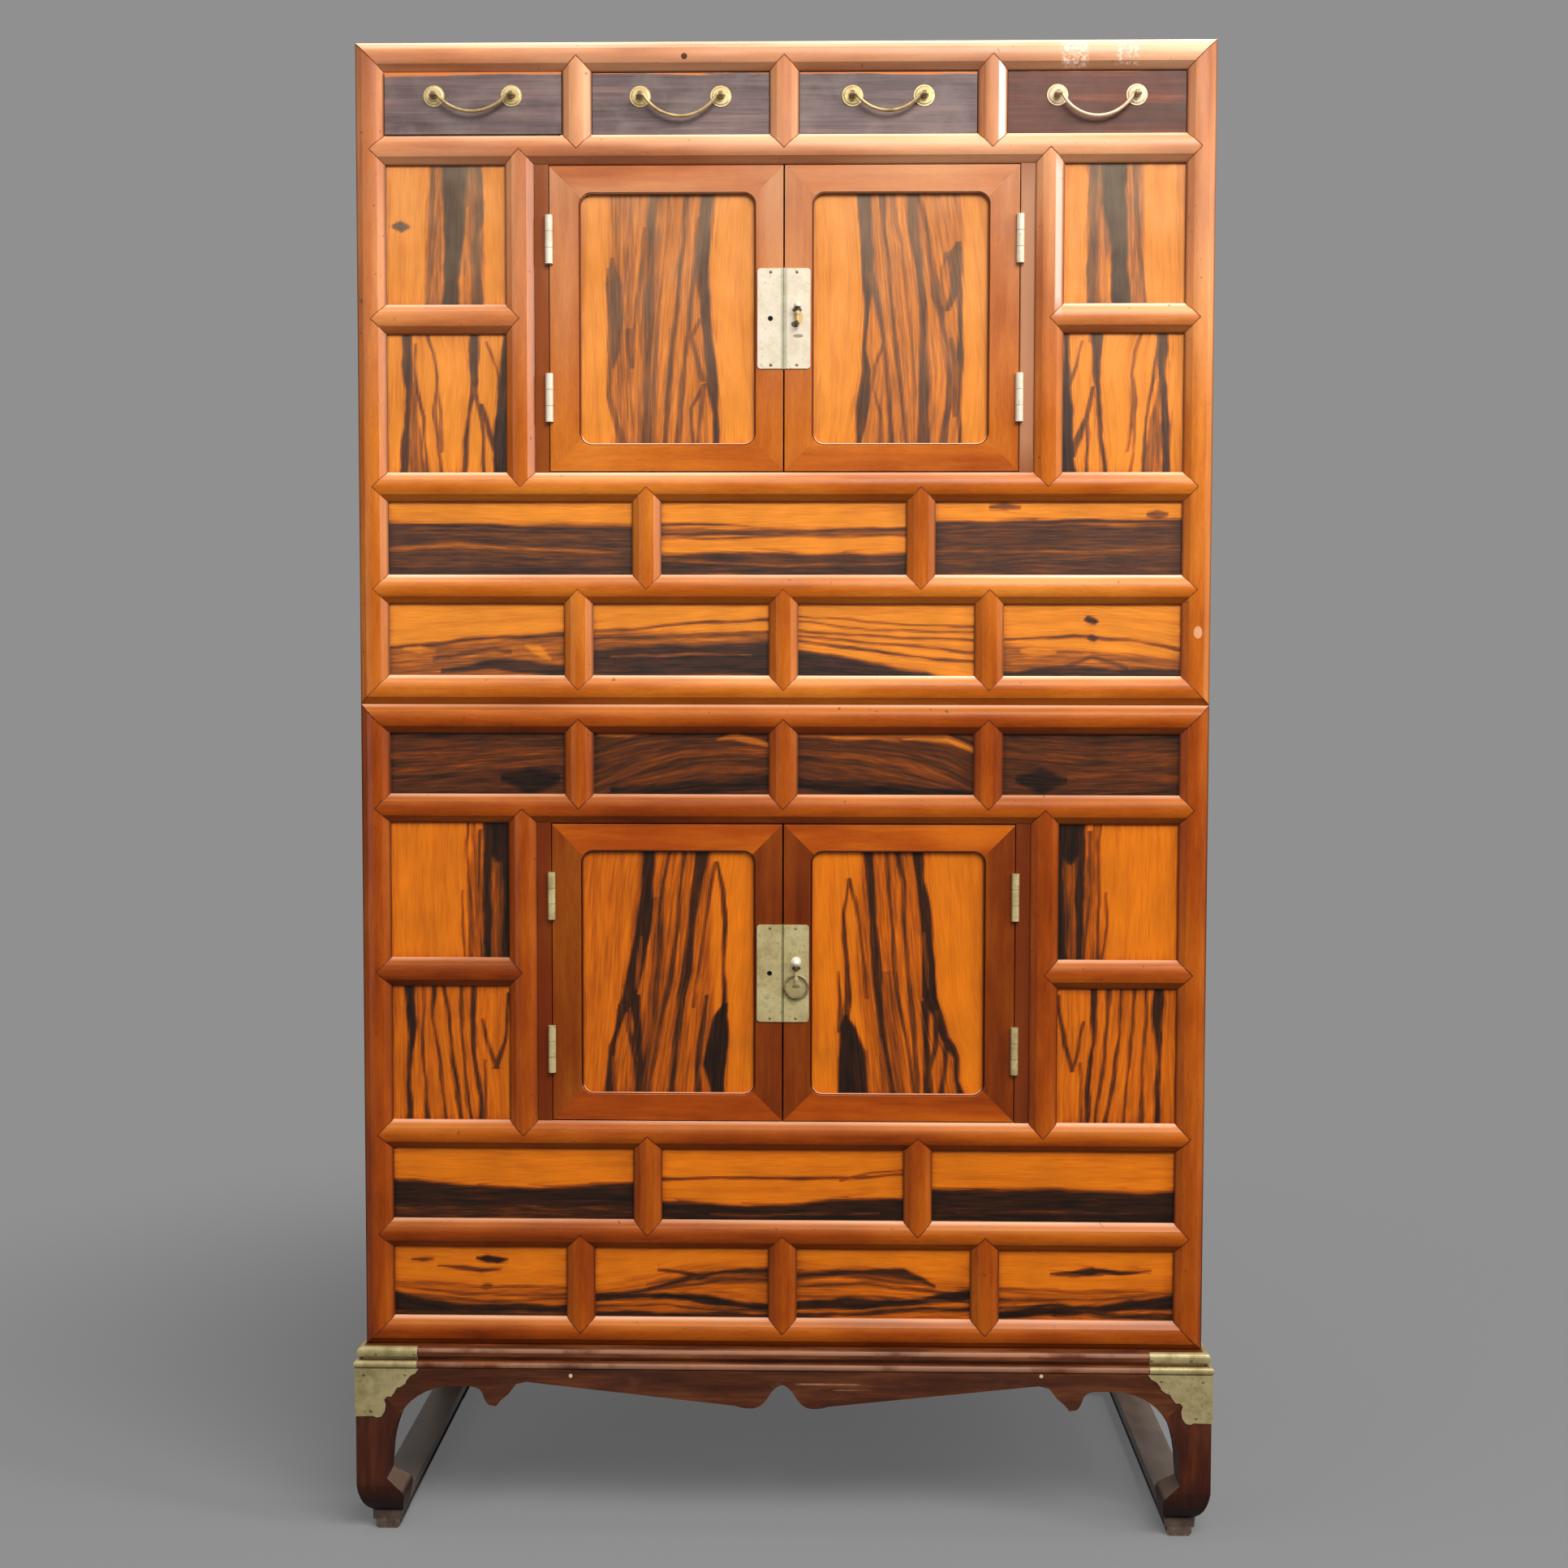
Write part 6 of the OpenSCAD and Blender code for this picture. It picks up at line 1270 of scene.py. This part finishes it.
bpy.ops.object.select_all(action="DESELECT")
bpy.ops.mesh.primitive_circle_add(vertices=20, radius=1.5 * MM, fill_type="NGON",
                                  rotation=(math.pi / 2, 0, 0))
nail = bpy.context.object
bpy.ops.object.transform_apply(location=True, rotation=True, scale=True)
bpy.ops.object.mode_set(mode="EDIT")
for rise, draw_in in ((0.25, 0.94), (0.3, 0.72), (0.2, 0.45)):
    bpy.ops.mesh.extrude_region_move(TRANSFORM_OT_translate={"value": (0, -rise * MM, 0)})
    bpy.ops.transform.resize(value=(draw_in, 1, draw_in))
bpy.ops.mesh.select_all(action="SELECT")
bpy.ops.mesh.normals_make_consistent(inside=False)
bpy.ops.object.mode_set(mode="OBJECT")
bpy.ops.object.shade_smooth_by_angle(angle=math.radians(50))
PIN_X, PIN_Y, PIN_RISE = 0.0125, -0.1952, 0.044  # on a lock plate, from its middle
CORNER_Y, CORNER_PINS = -0.2088, ((0.4095, 0.1595), (0.369, 0.1600), (0.403, 0.1235))
CAP_Y, CAP_Z, CAP_PINS = -0.2067, 0.1795, (0.398, 0.360)
OLD_PIN = brass("tarnished_pin", "#8E8058", "#6E6240", "#2E2814", 0.8, 0.5)
for case, tier in TIERS.items():
    for side, sign in (("left", -1), ("right", 1)):
        for end, height in (("top", PIN_RISE), ("foot", -PIN_RISE)):
            at = (sign * PIN_X, PIN_Y, tier + DOOR_Z + height)
            pin = place_copy(nail, f"{case}_{side}_plate_nail_{end}", at)
            claim(pin, f"{case}_{side}_door", OLD_PIN)
for side, sign in (("left", -1), ("right", 1)):
    for k, (x, z) in enumerate(CORNER_PINS):
        pin = place_copy(nail, f"corner_{side}_nail_{k + 1}", (sign * x, CORNER_Y, z))
        claim(pin, "chest", OLD_PIN)
    for k, x in enumerate(CAP_PINS):
        pin = place_copy(nail, f"cap_{side}_nail_{k + 1}", (sign * x, CAP_Y, CAP_Z))
        claim(pin, "chest", OLD_PIN)
bpy.data.objects.remove(nail)

# %% [markdown]
# ## The line where two plates meet
#
# The halves of a lock plate nearly touch. A narrow brass lip closes the gap. It
# belongs to the right door and stops just short of the left half, so either
# door still opens by itself. It is a bar with its long front edges bevelled.

# %% Meeting lips
LIP_PLACE, LIP_SIZE = (0.1 * MM, -0.1946), (1.3 * MM, 1.2 * MM, 96 * MM)
LIP_BRASS = {"upper": brass("grey_lip_brass", "#B4B09A", "#A09A80", "#6E684E", 0.5, 0.1),
             "lower": brass("olive_lip_brass", "#8E8458", "#706840", "#3E381E", 0.6, 0.3)}
for case, tier in TIERS.items():
    bpy.ops.object.select_all(action="DESELECT")
    bpy.ops.mesh.primitive_cube_add(size=1, location=(*LIP_PLACE, tier + DOOR_Z))
    lip = bpy.context.object
    lip.name = case + "_meeting_lip"
    lip.scale = LIP_SIZE
    bpy.ops.object.transform_apply(location=True, rotation=True, scale=True)
    edges = lip.modifiers.new("edges", "BEVEL")
    edges.width = 0.3 * MM
    edges.segments = 2
    bpy.ops.object.modifier_apply(modifier="edges")
    claim(lip, case + "_right_door", LIP_BRASS[case])
print("lip from y", round(min(v.co.y for v in lip.data.vertices), 4), "wide", lip.dimensions.x)

# %% [markdown]
# ## The rim of a door's opening
#
# The opening of each door is rounded over where it meets the board. That thin
# rim is a piece of its own here: a plane the size of the opening, its corners
# bevelled to the opening's radius, then inset, its middle deleted, thickened and
# rounded with one more bevel.

# %% Rims in the door openings
RIM_Y, CORNER_RADIUS, RIM_WIDTH, RIM_DEPTH = -0.1925, 12 * MM, 1.8 * MM, 3.2 * MM


def opening_rim(name, x_range, z_range, body, material):
    mid = ((x_range[0] + x_range[1]) / 2, (z_range[0] + z_range[1]) / 2)
    bpy.ops.object.select_all(action="DESELECT")
    bpy.ops.mesh.primitive_plane_add(size=1, location=(mid[0], RIM_Y, mid[1]), rotation=(math.pi / 2, 0, 0))
    rim = bpy.context.object
    rim.name = name
    rim.scale = (x_range[1] - x_range[0], z_range[1] - z_range[0], 1)
    bpy.ops.object.transform_apply(location=True, rotation=True, scale=True)
    bpy.ops.object.mode_set(mode="EDIT")
    bpy.ops.mesh.select_all(action="SELECT")
    bpy.ops.mesh.bevel(offset=CORNER_RADIUS, segments=10, affect="VERTICES")
    bpy.ops.mesh.select_all(action="SELECT")
    bpy.ops.mesh.inset(thickness=RIM_WIDTH)
    bpy.ops.mesh.delete(type="FACE")
    bpy.ops.mesh.select_all(action="SELECT")
    bpy.ops.mesh.extrude_region_move(TRANSFORM_OT_translate={"value": (0, RIM_DEPTH, 0)})
    bpy.ops.mesh.select_all(action="SELECT")
    bpy.ops.mesh.normals_make_consistent(inside=False)
    bpy.ops.object.mode_set(mode="OBJECT")
    rounding = rim.modifiers.new("rounding", "BEVEL")
    rounding.width = 1.2 * MM
    rounding.segments = 4
    rounding.angle_limit = math.radians(60)
    bpy.ops.object.modifier_apply(modifier="rounding")
    bpy.ops.object.shade_smooth_by_angle(angle=math.radians(40))
    claim(rim, body, material)
    return rim


for case in TIERS:
    for side in ("left", "right"):
        door = f"{case}_{side}_door"
        low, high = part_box(door + "_panel")
        across, up_down = (low[0] + GROOVE, high[0] - GROOVE), (low[2] + GROOVE, high[2] - GROOVE)
        rim = opening_rim(door + "_rim", across, up_down, door, nodes[door + "_frame"].data.materials[0])
depths = [v.co.y for v in rim.data.vertices]
print("rim from y", round(min(depths), 4), "to", round(max(depths), 4))

# %% [markdown]
# ## Seams at the mitres
#
# Every muntin, stile and rail ends in a point that sits in a notch. The joints
# are tight, yet dirt has drawn a dark line along each of them. A line is a thin
# strip that climbs the bevel and crosses the crown up to the tip, with a
# mirrored twin. It is modelled once, as a point that looks up, and copied with
# a quarter, half or three-quarter turn to every other joint.

# %% One seam
EDGE, BEVEL_RISE, CROWN, CROWN_RISE = -193.0, 5.8, -200.0, 1.2  # depths of the moulding in millimetres
BEVEL_WIDTH, HALF_WIDTH = 7, 14


def crown_depth(inward):
    """Depth of the moulding's surface at a distance in from its edge, in millimetres."""
    if inward <= BEVEL_WIDTH:
        return EDGE - BEVEL_RISE * inward / BEVEL_WIDTH
    return CROWN + CROWN_RISE * ((HALF_WIDTH - inward) / BEVEL_WIDTH) ** 2


STATIONS = (0.5, 3.5, 7.0, 8.5, 10.5, 12.5, 14.0)
bpy.ops.object.select_all(action="DESELECT")
bpy.ops.mesh.primitive_plane_add(size=0.8 * MM, rotation=(math.pi / 2, math.pi / 4, 0))
seam = bpy.context.object
bpy.ops.object.transform_apply(location=True, rotation=True, scale=True)
bpy.ops.object.mode_set(mode="EDIT")
bpy.ops.mesh.select_mode(type="VERT")
bpy.ops.mesh.select_all(action="DESELECT")
bpy.ops.object.mode_set(mode="OBJECT")
for corner in seam.data.vertices:
    corner.select = corner.co.x + corner.co.z > 0
bpy.ops.object.mode_set(mode="EDIT")
bpy.ops.mesh.delete(type="VERT")
bpy.ops.mesh.select_all(action="SELECT")
bpy.ops.transform.translate(value=(-13.2 * MM, (crown_depth(STATIONS[0]) - 0.12) * MM, -13.2 * MM))
for before, after in zip(STATIONS, STATIONS[1:]):
    along, rise = (after - before) * MM, (crown_depth(after) - crown_depth(before)) * MM
    bpy.ops.mesh.extrude_edges_move(TRANSFORM_OT_translate={"value": (along, rise, along)})
bpy.ops.object.mode_set(mode="OBJECT")
thick = seam.modifiers.new("thick", "SOLIDIFY")
thick.thickness = 0.3 * MM
thick.offset = 0
bpy.ops.object.modifier_apply(modifier="thick")
half_seam = seam.copy()
half_seam.data = seam.data.copy()
bpy.ops.object.mode_set(mode="EDIT")
bpy.ops.mesh.select_all(action="SELECT")
bpy.ops.mesh.duplicate()
bpy.ops.transform.resize(value=(-1, 1, 1), center_override=(0, 0, 0))
bpy.ops.mesh.select_all(action="SELECT")
bpy.ops.mesh.normals_make_consistent(inside=False)
bpy.ops.object.mode_set(mode="OBJECT")
print("seam of", len(seam.data.polygons), "faces and", len(seam.data.vertices), "corners")

# %% Seams on both cases
FOOT, LOW, SILL, LINTEL, TOP = 0.014, 0.111, 0.209, 0.529, 0.616  # middle heights of the five rails
points = []
for x in (-0.198, 0.0, 0.198):
    points += [(x, LOW, 0), (x, TOP, 0), (x, FOOT, 180), (x, LINTEL, 180)]
for x in (-0.132, 0.132):
    points += [(x, SILL, 0), (x, LOW, 180)]
for side in (-1, 1):
    x = side * STILE_X
    points += [(x, LINTEL, 0), (x, SILL, 180), (x, DOOR_Z, -90 * side)]
    points += [(side * POST_X, z, 90 * side) for z in (LOW, SILL, DOOR_Z, LINTEL)]
corners = [(-POST_X, FOOT, 180), (-POST_X, TOP, -90), (POST_X, FOOT, 90), (POST_X, TOP, 0)]
DIRT = {"upper": ("#5A260E", "#944A1C"), "lower": ("#341004", "#6A2C0C")}
for case, tier in TIERS.items():
    dirt, tree = new_material(case + "_seam_dirt")
    place = add(tree, "TexCoord").outputs["Object"]
    speck = add(tree, "TexNoise", {"Vector": place, "Scale": 400.0, "Detail": 2})
    tone = add(tree, "ValToRGB", speck, stops=tuple(zip((0.35, 0.65), DIRT[case])))
    shader = add(tree, "BsdfPrincipled", {"Base Color": tone, "Roughness": 0.6, "Specular IOR Level": 0.2})
    add(tree, "OutputMaterial", {"Surface": shader})
    parts = []
    for k, (x, z, turn) in enumerate(points):
        parts.append(place_copy(seam, f"{case}_seam_{k}", (x, 0, tier + z),
                                Matrix.Rotation(math.radians(turn), 4, "Y")))
    for k, (x, z, turn) in enumerate(corners):
        for half in (0, 180):
            parts.append(place_copy(half_seam, f"{case}_corner_seam_{k}_{half}", (x, 0, tier + z),
                                    Matrix.Rotation(math.radians(turn + half), 4, "Y")))
    bpy.ops.object.select_all(action="DESELECT")
    for part in parts:
        part.select_set(True)
    bpy.context.view_layer.objects.active = parts[0]
    bpy.ops.object.join()
    parts[0].name = case + "_mitre_seams"
    claim(parts[0], "chest", dirt)
    print(parts[0].name, "joins", len(parts), "seams")
bpy.data.objects.remove(seam)
bpy.data.objects.remove(half_seam)

# %% Finish
bare = [name for name, piece in nodes.items() if not piece.hide_render and not piece.data.materials]
print("nodes without a finish:", bare)
